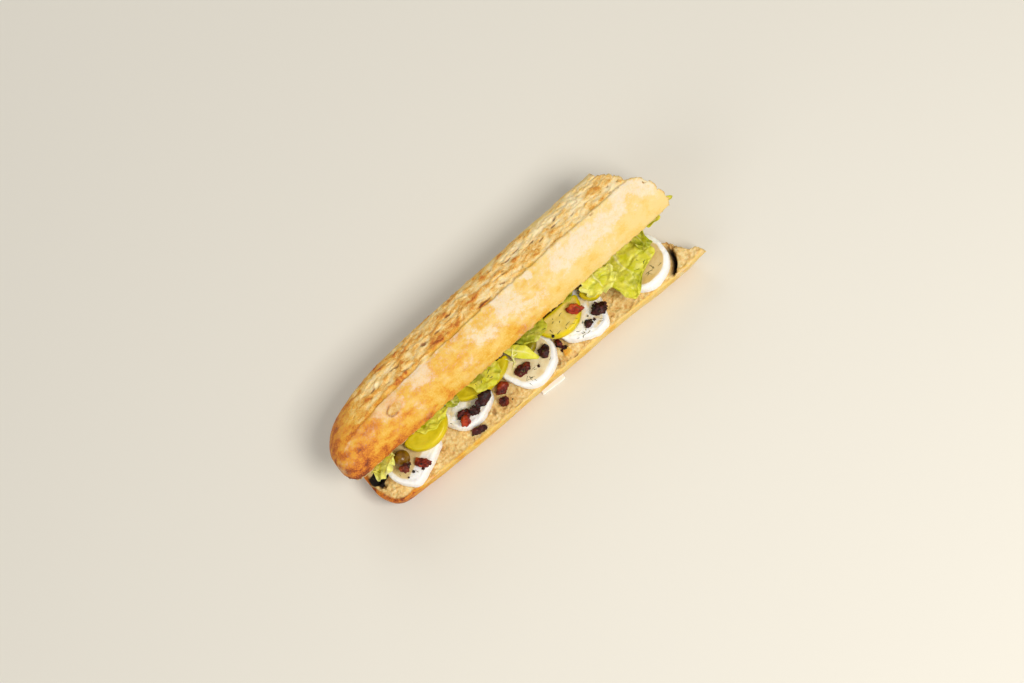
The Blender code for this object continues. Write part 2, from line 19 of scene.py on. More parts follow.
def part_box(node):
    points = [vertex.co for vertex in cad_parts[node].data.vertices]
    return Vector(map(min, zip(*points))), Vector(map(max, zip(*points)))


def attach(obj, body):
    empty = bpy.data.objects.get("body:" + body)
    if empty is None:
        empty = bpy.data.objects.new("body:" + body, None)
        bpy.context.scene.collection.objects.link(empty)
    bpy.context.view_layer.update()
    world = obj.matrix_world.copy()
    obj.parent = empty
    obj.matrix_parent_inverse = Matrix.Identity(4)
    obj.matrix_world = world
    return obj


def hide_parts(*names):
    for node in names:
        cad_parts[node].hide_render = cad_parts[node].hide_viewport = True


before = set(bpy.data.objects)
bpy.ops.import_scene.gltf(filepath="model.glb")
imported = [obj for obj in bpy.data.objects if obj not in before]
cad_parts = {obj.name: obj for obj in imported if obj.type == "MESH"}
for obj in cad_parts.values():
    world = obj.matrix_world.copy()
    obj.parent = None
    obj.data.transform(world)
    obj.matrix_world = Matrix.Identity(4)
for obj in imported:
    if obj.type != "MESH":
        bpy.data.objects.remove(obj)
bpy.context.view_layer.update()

MM = 0.001

# The frame holds the solids moved by one shift, which follows from a corner known in their own coordinates
SLIVER_CORNER = Vector((-8 * MM, -27.6 * MM))
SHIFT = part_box("cheese_sliver")[0].xy - SLIVER_CORNER

# Spacing of the fine pieces' points, and the angles over which their edges stay sharp
LID_SPACING = 0.82 * MM
BOTTOM_SPACING = 0.75 * MM
CHEESE_SPACING = 0.65 * MM
AVOCADO_SPACING = 0.7 * MM
SLIVER_SPACING = 0.5 * MM
BREAD_CREASE = math.radians(38)
SLICE_CREASE = math.radians(60)
SLIVER_CREASE = math.radians(50)
NO_CREASE = math.pi
CREASE_WEIGHT = 0.75

# How triangles are joined to four-sided faces, and in how many parts an outline is measured
WELD_DISTANCE = 0.002 * MM
FLAT_WITHIN = math.radians(25)
SQUARE_WITHIN = math.radians(50)
OUTLINE_BINS = 90

# Lid: its cut face leans back from the front edge
LID_WIDTH = 65 * MM
LID_HEIGHT = 32.5 * MM
LID_FRONT_Y = -4.1 * MM
LID_FRONT_Z = 48 * MM
LID_TILT = math.radians(22)
LID_HEEL_X = -150.2 * MM
LID_HEEL_ACROSS = 22 * MM
LID_YAW = 0.02
LID_YAW_FROM_X = -50 * MM

# How far the lid's heel is rounded at its front, back and top, and how squarely
HEEL_FRONT = (14 * MM, 2.4)
HEEL_BACK = (150 * MM, 3.0)
HEEL_TOP = (95 * MM, 2.8)

# Slash, from the raised ear over the top of the lid. A turn is an angle round the crust from its front edge.
EAR_TURN = math.radians(62.5)
SLASH_END_TURN = math.radians(128)
SLASH_START_X = -134 * MM
SLASH_START_LENGTH = 35 * MM

# A burst blister and a blob of flour on the crust, each at an x and a turn
CRATER = (-91.5 * MM, math.radians(44))
CRATER_REACH = (6.4 * MM, 3.9 * MM)
FLOUR_BLOB = (38 * MM, math.radians(56))
FLOUR_FADES_IN = (math.radians(14), math.radians(46))

# How brown the lid is and how much flour it holds, from the heel to the torn end
HEEL_TOAST = ((-150 * MM, 0.84), (-132 * MM, 0.74), (-100 * MM, 0.58))
LID_TOAST = (*HEEL_TOAST, (-50 * MM, 0.46), (0 * MM, 0.36), (50 * MM, 0.18), (110 * MM, 0.06))
LID_FLOUR = ((-150 * MM, 0.62), (-100 * MM, 0.78), (0 * MM, 1.0), (100 * MM, 0.95))

# Open pits in the slash, sunk and darkened with painted shade: place along the lid, turn in degrees, half
# length, half width
SLASH_PITS = (
    (-96 * MM, 88, 2.6 * MM, 1.3 * MM),
    (-74 * MM, 91, 5.4 * MM, 1.0 * MM),
    (-48 * MM, 85, 3.0 * MM, 2.2 * MM),
    (-35 * MM, 85, 2.6 * MM, 1.2 * MM),
    (-22.7 * MM, 96, 3.4 * MM, 1.0 * MM),
    (3.5 * MM, 69, 6.0 * MM, 1.1 * MM),
    (33 * MM, 100, 5.0 * MM, 0.8 * MM),
    (43 * MM, 103, 4.0 * MM, 0.8 * MM),
    (55 * MM, 94, 2.2 * MM, 1.1 * MM),
    (61 * MM, 85, 2.4 * MM, 1.0 * MM),
    (74 * MM, 89, 3.0 * MM, 1.2 * MM),
)

# Both halves are torn at their right ends
TORN_FROM_X = 100 * MM
TORN_DEPTH = 1.8 * MM

# Bottom half, with a crescent hollow by the last slice of cheese, a sunken pocket by the heel and a toasted
# bit; the hollow and the pocket are darkened with painted shade
CUT_Z = 24 * MM
HEEL_CRUST_X = (-143 * MM, -95 * MM)
CRESCENT_CENTRE = (103.4 * MM, -10.4 * MM)
CRESCENT_RADIUS = 22.8 * MM
CRESCENT_FADES_IN = (math.radians(-64), math.radians(-46))
CRESCENT_FADES_OUT = (math.radians(-8), math.radians(8))
CRESCENT_HALF_WIDTH = 1.9 * MM
CRESCENT_DEPTH = 9 * MM
POCKET_CENTRE = (-134.4 * MM, -1.0 * MM)
POCKET_REACH = (7.0 * MM, 5.0 * MM)
POCKET_DARK_FROM = (9 * MM, 11 * MM)
POCKET_DARK_TO = (20.6 * MM, 23.2 * MM)
TOASTED_CRUMB = (24.6 * MM, -22.4 * MM)
TOASTED_EDGE = (2.4 * MM, 3.6 * MM)

# Cheese: where the first slice is cut, which slices are white and rough all over, which have a tan face of
# painted shade
CUT_TURN = math.radians(294)
CUT_FROM_MIDDLE = 6 * MM
WHITE_CHEESES = (2, 4)
WHITE_RELIEF = 1.6
SHADED_CHEESES = {1: 0.6, 5: 0.7}
RIND_WIDTH = 3.6 * MM

PALE_AVOCADO = 4
# The slice darkened with painted shade, for the shadow it lies in
SHADED_AVOCADO = 3

# How red, and how torn to orange-brown, the pieces of tomato are that aren't nearly black
RED_TOMATOES = {1: 0.15, 2: 0.5, 3: 0.4, 4: 0.35, 5: 0.2, 6: 0.6, 7: 0.25, 10: 0.3, 12: 1.0, 15: 1.0}
TORN_TOMATOES = {2: 0.35, 4: 0.15, 5: 0.3, 6: 0.9, 12: 0.95, 15: 0.25}

CHEESE_COUNT = 5
AVOCADO_COUNT = 5
TOMATO_COUNT = 15
LEAF_COUNT = 13

# Which way leaves run from root to tip, seen from above, and those that run aside
FORWARD = (0.0, -1.0)
SIDEWAYS_LEAVES = {6: (0.57, -0.82), 11: (1.0, -0.3), 12: (1.0, -0.45)}

# How frilly each leaf is, how wide its pale rib is in millimetres, how green it is and how crumpled
LEAF_LOOKS = {
    2: (2.2, 1.0, 0.0, 0.8),
    3: (1.2, 2.2, 0.05, 0.8),
    4: (1.0, 1.2, 0.1, 1.2),
    5: (0.8, 1.6, 0.4, 0.8),
    6: (0.3, 1.0, 0.0, 0.3),
    7: (1.2, 1.2, 0.45, 0.8),
    8: (1.0, 1.4, 0.03, 1.4),
    9: (2.2, 1.2, 0.0, 1.2),
    10: (1.2, 1.2, 0.4, 1.0),
    13: (1.2, 1.5, 0.5, 0.8),
}
PLAIN_LEAF = (1.0, 1.5, 0.2, 0.8)
LEAF_BANDS = 12

# Pale stems that spread from the sprig on the third slice: where they part and where each ends, as x and y
SPRIG_FORK = (-6.6 * MM, -7.5 * MM)
STEM_ENDS = (
    (-13.6 * MM, -10.6 * MM),
    (-11.5 * MM, -3.4 * MM),
    (-2.0 * MM, -4.2 * MM),
    (-2.6 * MM, -9.4 * MM),
)
STEM_RADIUS = 0.8 * MM
STEM_LIFT = 0.5 * MM
STEM_CURL = 0.06

# Threads: sides round each, points along it, and how many points have to find something to lie on
THREAD_SIDES = 6
THREAD_POINTS = 7
FEWEST_POINTS = 4
LOOK_DOWN_FROM = 0.2

# Where dill lies: middle x and y, half lengths, how many threads. A thread isn't laid over a high step.
DILL_PATCHES = (
    (0 * MM, -22 * MM, 12 * MM, 6 * MM, 20),
    (38 * MM, -10 * MM, 15 * MM, 6 * MM, 14),
    (40 * MM, -21 * MM, 6 * MM, 6 * MM, 18),
    (52 * MM, -22 * MM, 8 * MM, 6 * MM, 8),
    (107 * MM, -17 * MM, 8 * MM, 7 * MM, 18),
    (-62 * MM, -13 * MM, 8 * MM, 6 * MM, 7),
    (-112 * MM, -17 * MM, 8 * MM, 7 * MM, 6),
    (-25 * MM, -8 * MM, 16 * MM, 4 * MM, 5),
)
DILL_LENGTHS_MM = (1.4, 3.8)
DILL_RADII_MM = (0.18, 0.32)
DILL_CURL = 0.1
DILL_LIFT = 0.1 * MM
DILL_STEP = 2.5 * MM

# Where shreds of tomato lie: middle x and y, half lengths, how many. None lie on what stands higher.
SHREDS_BELOW = 41 * MM
SHRED_PATCHES = (
    (-51 * MM, -16 * MM, 12 * MM, 5 * MM, 16),
    (-108 * MM, -21 * MM, 8 * MM, 3 * MM, 8),
    (3 * MM, -18 * MM, 14 * MM, 4 * MM, 7),
    (58 * MM, -18 * MM, 9 * MM, 6 * MM, 12),
    (24.4 * MM, -16 * MM, 2.4 * MM, 5 * MM, 16),
    (-29 * MM, -19 * MM, 4 * MM, 5 * MM, 5),
)
SHRED_SIZES_MM = (0.4, 1.4)

# Crumbs: how many are tried, where in x and y, and their sizes
CRUMB_COUNT = 110
CRUMB_X_MM = (-130, 136)
CRUMB_Y_MM = (-29, -8)
CRUMB_SIZES_MM = (0.2, 0.6)

# Camera: the view that the loaf was seen from, with the picture turned so that the loaf climbs to the right
VIEW_ELEVATION = math.radians(65.5)
PICTURE_TURN = math.radians(40.6)
PICTURE_WIDTH = 1024
METRES_PER_PIXEL = 0.70 * MM
AIM_POINT = (-0.4 * MM, -8.8 * MM, 35 * MM)
CAMERA_DISTANCE = 1.6
SENSOR_WIDTH = 36.0

# Floor, lamps as name, place, size, power and colour, and the light of the room
FLOOR_SIZE = 3.0
FLOOR_DROP = 0.2 * MM
FLOOR_COLOUR = (0.78, 0.75, 0.67, 1.0)
LAMPS = (
    ("key", (0.4, -1.1, 1.4), 0.6, 23.0, (1.0, 0.97, 0.92)),
    ("fill", (-1.3, -0.5, 1.0), 1.2, 6.0, (1.0, 0.97, 0.94)),
    ("back", (0.2, 1.4, 1.1), 1.0, 6.0, (1.0, 0.98, 0.96)),
)
ROOM_COLOUR = (1.0, 0.98, 0.95, 1.0)
ROOM_STRENGTH = 0.32


def srgb(red, green, blue):
    """Linear values of a screen colour given from 0 to 255."""
    values = []
    for level in (red, green, blue):
        share = level / 255
        values.append(share / 12.92 if share <= 0.04045 else ((share + 0.055) / 1.055) ** 2.4)
    return (*values, 1.0)


# Noise in numpy, so that relief and masks come from the same places. Each seed gives its own noise.

HASH_PRIMES = (73856093, 19349663, 83492791)
LOW_31_BITS = 0x7FFFFFFF
LOW_20_BITS = 0xFFFFF


def hashed(cell, seed):
    """A repeatable value from 0 to 1 for each whole-numbered cell."""
    by_x, by_y, by_z = HASH_PRIMES
    mixed = cell[:, 0] * by_x ^ cell[:, 1] * by_y ^ cell[:, 2] * by_z ^ (seed * 7919 + 17)
    mixed = (mixed & LOW_31_BITS) * 1103515245 & LOW_31_BITS
    mixed = (mixed ^ (mixed >> 15)) * 1664525 & LOW_31_BITS
    mixed = mixed ^ (mixed >> 13)
    return (mixed & LOW_20_BITS) / LOW_20_BITS


def lumps(points, span, seed):
    """Smooth noise from -1 to 1 whose lumps are about one span across."""
    scaled = points / span
    base = np.floor(scaled).astype(np.int64)
    part = scaled - base
    part = part * part * (3 - 2 * part)
    total = np.zeros(len(points))
    for corner in itertools.product((0, 1), repeat=3):
        weight = np.prod(np.where(np.array(corner) == 1, part, 1 - part), axis=1)
        total += weight * hashed(base + np.array(corner), seed)
    return 2 * total - 1


def layered(points, span, layers, seed):
    """Noise with finer layers added, each half as strong as the last."""
    total = np.zeros(len(points))
    for layer in range(layers):
        total += lumps(points, span / 2**layer, seed + 31 * layer) / 2**layer
    return total / (2 - 2 ** (1 - layers))


def cells(points, span, seed):
    """Distance to the nearest of scattered points, in spans, and that point's own value."""
    scaled = points / span
    base = np.floor(scaled).astype(np.int64)
    nearest = np.full(len(points), 9.0)
    value = np.zeros(len(points))
    for step in itertools.product((-1, 0, 1), repeat=3):
        cell = base + np.array(step)
        centre = cell + np.stack([hashed(cell, seed + k) for k in (1, 2, 3)], axis=1)
        distance = np.linalg.norm(scaled - centre, axis=1)
        closer = distance < nearest
        value = np.where(closer, hashed(cell, seed + 4), value)
        nearest = np.minimum(nearest, distance)
    return nearest, value


def ease(value, low, high):
    """A smooth step from 0 at low to 1 at high."""
    share = np.clip((value - low) / (high - low), 0, 1)
    return share * share * (3 - 2 * share)


def ridge(value, width):
    """1 where the value is 0, falling off smoothly to both sides."""
    return np.exp(-((value / width) ** 2))


def along_x(x, stops):
    """A value that runs evenly from each stop to the next; a stop is a place and a value."""
    places, values = zip(*stops)
    return np.interp(x, places, values)


def taper(distance, length, power):
    """0 at the tip of a rounded end, 1 from one length away."""
    left = 1 - np.clip(distance / length, 0, 1)
    return (1 - left**power) ** (1 / power)


# Meshes as arrays


def vertices_of(mesh):
    co = np.zeros(len(mesh.vertices) * 3)
    mesh.vertices.foreach_get("co", co)
    return co.reshape(-1, 3)


def normals_of(mesh):
    normals = np.zeros(len(mesh.vertices) * 3)
    mesh.vertex_normals.foreach_get("vector", normals)
    return normals.reshape(-1, 3)


def move_vertices(mesh, co):
    mesh.vertices.foreach_set("co", co.ravel())
    mesh.update()


def push(mesh, distances):
    """Moves each vertex along its normal."""
    move_vertices(mesh, vertices_of(mesh) + normals_of(mesh) * distances[:, None])


def paint(mesh, name, values):
    """Stores a mask from 0 to 1 on the vertices."""
    layer = mesh.attributes.new(name, "FLOAT", "POINT")
    layer.data.foreach_set("value", np.clip(values, 0, 1).astype(np.float32))


def own_place(co):
    """Vertices in the solids' own coordinates."""
    return co - np.array((SHIFT.x, SHIFT.y, 0.0))


def made_mesh(name, bm):
    """Turns what was built into a mesh."""
    mesh = bpy.data.meshes.new(name)
    bm.to_mesh(mesh)
    bm.free()
    return mesh


def link(name, mesh):
    obj = bpy.data.objects.new(name, mesh)
    bpy.context.scene.collection.objects.link(obj)
    return obj


def cage_of(node, crease_over):
    """A copy of a node's solid in four-sided faces, with its sharp edges creased."""
    bm = bmesh.new()
    bm.from_mesh(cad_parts[node].data)
    bmesh.ops.remove_doubles(bm, verts=bm.verts, dist=WELD_DISTANCE)
    bmesh.ops.join_triangles(
        bm,
        faces=bm.faces,
        angle_face_threshold=FLAT_WITHIN,
        angle_shape_threshold=SQUARE_WITHIN,
    )
    crease = bm.edges.layers.float.new("crease_edge")
    for edge in bm.edges:
        if edge.calc_face_angle(0.0) > crease_over:
            edge[crease] = CREASE_WEIGHT
    return made_mesh(node + "_fine", bm)


def fine_piece(node, levels, spacing=None, crease_over=NO_CREASE):
    """A smooth, dense copy of a node's solid, which stands for it."""
    obj = link(node + "_fine", cage_of(node, crease_over))
    rounding = obj.modifiers.new("rounding", "SUBSURF")
    rounding.levels = rounding.render_levels = levels
    if spacing:
        even = obj.modifiers.new("even", "REMESH")
        even.mode = "VOXEL"
        even.voxel_size = spacing
    graph = bpy.context.evaluated_depsgraph_get()
    mesh = bpy.data.meshes.new_from_object(obj.evaluated_get(graph))
    obj.modifiers.clear()
    obj.data = mesh
    mesh.shade_smooth()
    return obj


def finished(obj, node, material):
    """Gives a piece its material and its place in the frame."""
    obj.data.materials.clear()
    obj.data.materials.append(material)
    obj.data.shade_smooth()
    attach(obj, "root")
    if node:
        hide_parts(node)
    return obj


# Materials


class Paint:
    """Short calls for building one material's nodes."""

    def __init__(self, name, roughness, **sockets):
        self.material = bpy.data.materials.new(name)
        self.material.use_nodes = True
        self.tree = self.material.node_tree
        self.shader = self.tree.nodes["Principled BSDF"]
        self.shader.inputs["Roughness"].default_value = roughness
        for socket, value in sockets.items():
            self.shader.inputs[socket.replace("_", " ")].default_value = value
        self.place = self.tree.nodes.new("ShaderNodeTexCoord").outputs["Object"]

    def node(self, kind, **settings):
        made = self.tree.nodes.new("ShaderNode" + kind)
        for name, value in settings.items():
            setattr(made, name, value)
        return made

    def join(self, source, target):
        self.tree.links.new(source, target)

    def mask(self, name):
        return self.node("Attribute", attribute_name=name).outputs["Fac"]

    def noise(self, scale, detail, stretch=(1.0, 1.0, 1.0)):
        """Noise from 0 to 1; scale is in lumps for each metre."""
        spread = self.node("Mapping")
        spread.inputs["Scale"].default_value = stretch
        self.join(self.place, spread.inputs["Vector"])
        made = self.node("TexNoise")
        made.inputs["Scale"].default_value = scale
        made.inputs["Detail"].default_value = detail
        made.inputs["Roughness"].default_value = 0.55
        self.join(spread.outputs["Vector"], made.inputs["Vector"])
        return made.outputs["Fac"]

    def ramp(self, value, low, high, start=0.0, end=1.0):
        """Maps low to start and high to end, smoothly and clamped."""
        made = self.node("MapRange", interpolation_type="SMOOTHSTEP")
        for socket, number in (("From Min", low), ("From Max", high), ("To Min", start), ("To Max", end)):
            made.inputs[socket].default_value = number
        self.join(value, made.inputs["Value"])
        return made.outputs["Result"]

    def feed(self, socket, value):
        """Gives a socket a number, a colour or another socket's output."""
        if isinstance(value, (tuple, float)):
            socket.default_value = value
        else:
            self.join(value, socket)

    def calculate(self, operation, one, two):
        made = self.node("Math", operation=operation)
        self.feed(made.inputs[0], one)
        self.feed(made.inputs[1], two)
        return made.outputs["Value"]

    def times(self, one, two):
        return self.calculate("MULTIPLY", one, two)

    def plus(self, one, two):
        return self.calculate("ADD", one, two)

    def mix(self, share, one, two):
        """One colour turning into another; each is a colour or a socket."""
        made = self.node("Mix", data_type="RGBA")
        colour_sockets = [socket for socket in made.inputs if socket.type == "RGBA"]
        self.feed(made.inputs["Factor"], share)
        self.feed(colour_sockets[0], one)
        self.feed(colour_sockets[1], two)
        return next(socket for socket in made.outputs if socket.type == "RGBA")

    def bands(self, value, *stops):
        """Colours along a value; each stop is a place and a colour, the first at 0 and the last at 1."""
        made = self.node("ValToRGB")
        places = made.color_ramp.elements
        for position, _ in stops[1:-1]:
            places.new(position)
        for element, (_, colour) in zip(places, stops):
            element.color = colour
        self.join(value, made.inputs["Fac"])
        return made.outputs["Color"]

    def colour(self, socket):
        self.join(socket, self.shader.inputs["Base Color"])

    def rough(self, socket):
        self.join(socket, self.shader.inputs["Roughness"])

    def bump(self, height, distance, strength):
        made = self.node("Bump")
        made.inputs["Strength"].default_value = strength
        made.inputs["Distance"].default_value = distance
        self.join(height, made.inputs["Height"])
        self.join(made.outputs["Normal"], self.shader.inputs["Normal"])


def bread_material(name):
    """Crust from pale to toasted under flour, and crumb where it is cut or torn, darkened with painted shade
    in its pits, holes and hollows.
    """
    p = Paint(name, 0.72, Subsurface_Weight=0.1, Subsurface_Scale=3 * MM)
    fine = p.noise(1000, 4.0)
    mottle = p.noise(330, 4.0)
    toast = p.plus(p.mask("toast"), p.ramp(p.noise(170, 5.0, (0.6, 1, 1)), 0.3, 0.7, -0.16, 0.16))
    toast = p.plus(toast, p.ramp(fine, 0.3, 0.7, -0.1, 0.1))
    crust = p.bands(
        toast,
        (0.0, srgb(240, 210, 138)),
        (0.25, srgb(238, 200, 106)),
        (0.5, srgb(231, 176, 54)),
        (0.7, srgb(222, 140, 30)),
        (0.86, srgb(190, 96, 20)),
        (1.0, srgb(126, 54, 12)),
    )
    torn = p.bands(
        toast,
        (0.0, srgb(254, 233, 184)),
        (0.3, srgb(248, 212, 138)),
        (0.52, srgb(230, 172, 72)),
        (0.75, srgb(202, 112, 28)),
        (1.0, srgb(132, 64, 14)),
    )
    crust = p.mix(p.mask("slash"), crust, torn)
    grains = p.plus(p.ramp(fine, 0.2, 0.8, -0.45, 0.45), p.ramp(mottle, 0.2, 0.8, -0.4, 0.4))
    grains = p.times(grains, p.ramp(p.mask("flour"), 0.0, 0.3))
    dusting = p.ramp(p.plus(p.mask("flour"), grains), 0.05, 1.35, 0.0, 0.78)
    flour = p.mix(p.ramp(p.mask("toast"), 0.35, 0.8), srgb(240, 227, 206), srgb(240, 198, 140))
    crust = p.mix(dusting, crust, flour)
    grain = p.ramp(p.noise(420, 4.0), 0.25, 0.75, 0.0, 0.8)
    clouds = p.ramp(p.noise(90, 3.0), 0.35, 0.7, -0.15, 0.35)
    inside = p.bands(
        p.plus(grain, clouds),
        (0.0, srgb(246, 222, 164)),
        (0.45, srgb(234, 198, 126)),
        (1.0, srgb(204, 150, 76)),
    )
    surface = p.mix(p.mask("crumb"), crust, inside)
    # Brown in the slash's pits, the crumb's holes and the crater's bowl: painted shade
    surface = p.mix(p.mask("pit"), surface, srgb(126, 66, 20))
    # Near black in the crescent hollow, the pocket and the crater's left rim: painted shade
    p.colour(p.mix(p.mask("painted_shade"), surface, srgb(20, 10, 4)))
    p.rough(p.ramp(p.mask("painted_shade"), 0.0, 0.6, 0.72, 1.0))
    p.bump(p.plus(fine, p.times(p.noise(2600, 2.0), 0.4)), 0.3 * MM, 0.9)
    return p.material


def cheese_material():
    """Soft goat's cheese: a white rind round a creamy cut face."""
    p = Paint("goat_cheese", 0.55, Subsurface_Weight=0.25, Subsurface_Scale=3 * MM, IOR=1.42)
    p.shader.inputs["Subsurface Radius"].default_value = (1.0, 0.85, 0.65)
    cut = p.mix(p.ramp(p.noise(200, 5.0), 0.3, 0.75), srgb(248, 232, 192), srgb(234, 211, 160))
    # Tan on the cut faces: random patches of the cheese's own, and painted shade over the first and last
    # slices
    cut = p.mix(p.mask("tan_and_shade"), cut, srgb(214, 180, 104))
    p.colour(p.mix(p.mask("rind"), cut, srgb(255, 253, 248)))
    p.bump(p.plus(p.noise(700, 4.0), p.times(p.noise(2400, 2.0), 0.5)), 0.3 * MM, 0.8)
    return p.material


def avocado_material():
    """Smooth flesh, bright yellow towards the skin side, pale on one slice and darkened with painted shade on
    another.
    """
    p = Paint("avocado", 0.34, Subsurface_Weight=0.2, Subsurface_Scale=3 * MM, IOR=1.42)
    p.shader.inputs["Subsurface Radius"].default_value = (1.0, 1.0, 0.2)
    flesh = p.mix(p.ramp(p.noise(150, 3.0), 0.3, 0.7), srgb(226, 204, 40), srgb(208, 188, 18))
    pale = p.mix(p.ramp(p.noise(260, 4.0), 0.3, 0.7), srgb(238, 214, 120), srgb(224, 194, 84))
    flesh = p.mix(p.mask("pale"), flesh, pale)
    rim = p.mix(p.ramp(p.noise(90, 2.0), 0.35, 0.65), srgb(230, 202, 4), srgb(208, 190, 4))
    surface = p.mix(p.mask("rim"), flesh, rim)
    p.colour(p.mix(p.mask("shade"), surface, srgb(116, 104, 10)))
    p.bump(p.noise(500, 3.0), 0.3 * MM, 0.6)
    return p.material


def lettuce_material():
    """Yellow-green leaf with pale ribs and deeper green patches, painted shade in its folds and painted
    highlights on its wrinkles.
    """
    p = Paint("lettuce", 0.42, Subsurface_Weight=0.25, Subsurface_Scale=2 * MM, IOR=1.4)
    p.shader.inputs["Subsurface Radius"].default_value = (1.0, 1.0, 0.2)
    leaf = p.mix(p.ramp(p.noise(130, 5.0), 0.3, 0.7), srgb(242, 232, 90), srgb(208, 208, 18))
    # Deeper green: in patches the leaf's own, in its folds painted shade
    leaf = p.mix(p.mask("green"), leaf, srgb(112, 126, 8))
    # Pale on the ribs and veins, on frilly edges, and on raised wrinkles as painted highlight
    p.colour(p.mix(p.mask("vein"), leaf, srgb(246, 240, 168)))
    p.rough(p.ramp(p.noise(60, 2.0), 0.3, 0.7, 0.34, 0.52))
    p.bump(p.noise(900, 3.0), 0.3 * MM, 0.5)
    return p.material


def tomato_material():
    """Oily dried tomato: nearly black, dark red flesh and orange-brown patches, redder and more orange-brown
    on raised folds as painted highlight and nearly black in low folds as painted shade.
    """
    p = Paint("dried_tomato", 0.4, IOR=1.4)
    flesh = p.mix(p.ramp(p.noise(300, 4.0), 0.35, 0.65), srgb(16, 5, 4), srgb(66, 14, 6))
    bright = p.mix(p.ramp(p.noise(340, 4.0), 0.35, 0.65), srgb(120, 26, 6), srgb(182, 48, 6))
    flesh = p.mix(p.mask("red"), flesh, bright)
    # Orange-brown follows the raised folds: partly the tomato's own colour, partly painted highlight
    p.colour(p.mix(p.mask("torn"), flesh, srgb(204, 92, 22)))
    p.rough(p.ramp(p.noise(520, 3.0), 0.3, 0.7, 0.3, 0.65))
    p.bump(p.noise(1100, 4.0), 0.4 * MM, 0.9)
    return p.material


def olive_material():
    p = Paint("olive_skin", 0.24, IOR=1.46)
    p.colour(p.mix(p.ramp(p.noise(150, 4.0), 0.3, 0.7), srgb(146, 104, 14), srgb(92, 58, 6)))
    p.bump(p.noise(900, 3.0), 0.15 * MM, 0.5)
    return p.material


def dill_material():
    p = Paint("dill", 0.5)
    p.colour(p.mix(p.ramp(p.noise(300, 2.0), 0.3, 0.7), srgb(58, 60, 14), srgb(116, 110, 40)))
    return p.material


def crumb_material():
    p = Paint("crumbs", 0.75, Subsurface_Weight=0.1, Subsurface_Scale=2 * MM)
    p.colour(p.mix(p.ramp(p.noise(420, 2.0), 0.35, 0.65), srgb(246, 222, 168), srgb(228, 172, 92)))
    p.bump(p.noise(1600, 3.0), 0.2 * MM, 0.8)
    return p.material


# Bread


def lid_turn(co):
    """Each vertex's turn round the lid's crust from its front edge, and its height off the cut face."""
    own = own_place(co)
    x = own[:, 0]
    y = own[:, 1] - LID_YAW * (x - LID_YAW_FROM_X) - LID_FRONT_Y
    z = own[:, 2] - LID_FRONT_Z
    across = y * math.cos(LID_TILT) - z * math.sin(LID_TILT)
    out = y * math.sin(LID_TILT) + z * math.cos(LID_TILT)
    distance = x - LID_HEEL_X
    front = LID_HEEL_ACROSS * (1 - taper(distance, *HEEL_FRONT))
    back = LID_HEEL_ACROSS + (LID_WIDTH - LID_HEEL_ACROSS) * taper(distance, *HEEL_BACK)
    half = np.maximum((back - front) / 2, 1 * MM)
    height = LID_HEIGHT * np.maximum(taper(distance, *HEEL_TOP), 0.05)
    return np.arctan2(out / height, ((front + back) / 2 - across) / half), out


def crumb_relief(co, seed):
    """Open crumb: uneven holes, small pores and torn, stringy walls; negative is inwards."""
    warp = np.stack([lumps(co, 4 * MM, seed + k) for k in (5, 6, 7)], axis=1)
    warped = co + 1.8 * MM * warp
    big, big_size = cells(warped, 8.5 * MM, seed)
    small, small_size = cells(warped, 2.6 * MM, seed + 9)
    holes = ease(0.08 + 0.42 * big_size**3 - big, 0.0, 0.3) * (0.4 + big_size)
    pores = ease(0.12 + 0.38 * small_size - small, 0.0, 0.25)
    strings = np.abs(layered(warped * np.array((1.0, 0.5, 1.0)), 5 * MM, 3, seed + 15))
    grain = layered(co, 2.2 * MM, 3, seed + 20)
    depth = -1.9 * holes - 0.6 * pores + 0.45 * grain + 1.3 * ease(0.3 - strings, 0.0, 0.3) - 0.6
    return depth * MM, np.clip(holes + 0.4 * pores, 0, 1)


def torn_face(normals, x):
    """Where the torn end is, from 0 to 1."""
    return ease(normals[:, 0], 0.35, 0.6) * (x > TORN_FROM_X)


def torn_relief(co, seed):
    """Ragged lumps of the torn end."""
    return TORN_DEPTH * layered(co, 6 * MM, 4, seed)


def crust_relief(co, seed):
    """Gentle swells with a fine wrinkled skin."""
    return 0.45 * MM * lumps(co, 16 * MM, seed) + 0.26 * MM * layered(co, 4.5 * MM, 4, seed + 3)


def slash_relief(co, seed):
    """Stretched, blistered dough: its depth, and where its pits, webs and folds are."""
    warp = np.stack([lumps(co, 6 * MM, seed + k) for k in (1, 2, 3)], axis=1)
    pulled = (co + 2.0 * MM * warp) * np.array((0.5, 1.0, 1.0))
    pits, size = cells(pulled, 3.2 * MM, seed)
    pit = ease(0.02 + 0.34 * size**2 - pits, 0.0, 0.1) * (size > 0.5)
    webs = (1 - np.abs(layered(pulled, 4.5 * MM, 4, seed + 5)) * 3.4).clip(0, 1)
    blisters, lift = cells(pulled, 3.0 * MM, seed + 11)
    swell = np.sqrt(np.clip(0.36 - blisters**2, 0, 1)) * lift
    folds = layered(pulled, 2.4 * MM, 4, seed + 15)
    depth = 0.8 * webs + 0.8 * folds + 0.9 * swell - 1.0 * pit - 0.5
    return depth * MM, pit, webs, folds


def named_pits(co, x, turn):
    """The larger pits of the slash, each where it is seen."""
    wobble = 0.35 * lumps(co, 1.8 * MM, 74)
    pit = np.zeros(len(co))
    for place, degrees, length, width in SLASH_PITS:
        reach = np.hypot((x - place) / length, (turn - math.radians(degrees)) * LID_HEIGHT / width)
        pit = np.maximum(pit, 1 - ease(reach + wobble, 0.6, 1.1))
    return pit


def slash_along(x):
    """How open the slash is along the lid, from 0 at its start by the heel."""
    return ease(x, SLASH_START_X, SLASH_START_X + SLASH_START_LENGTH)


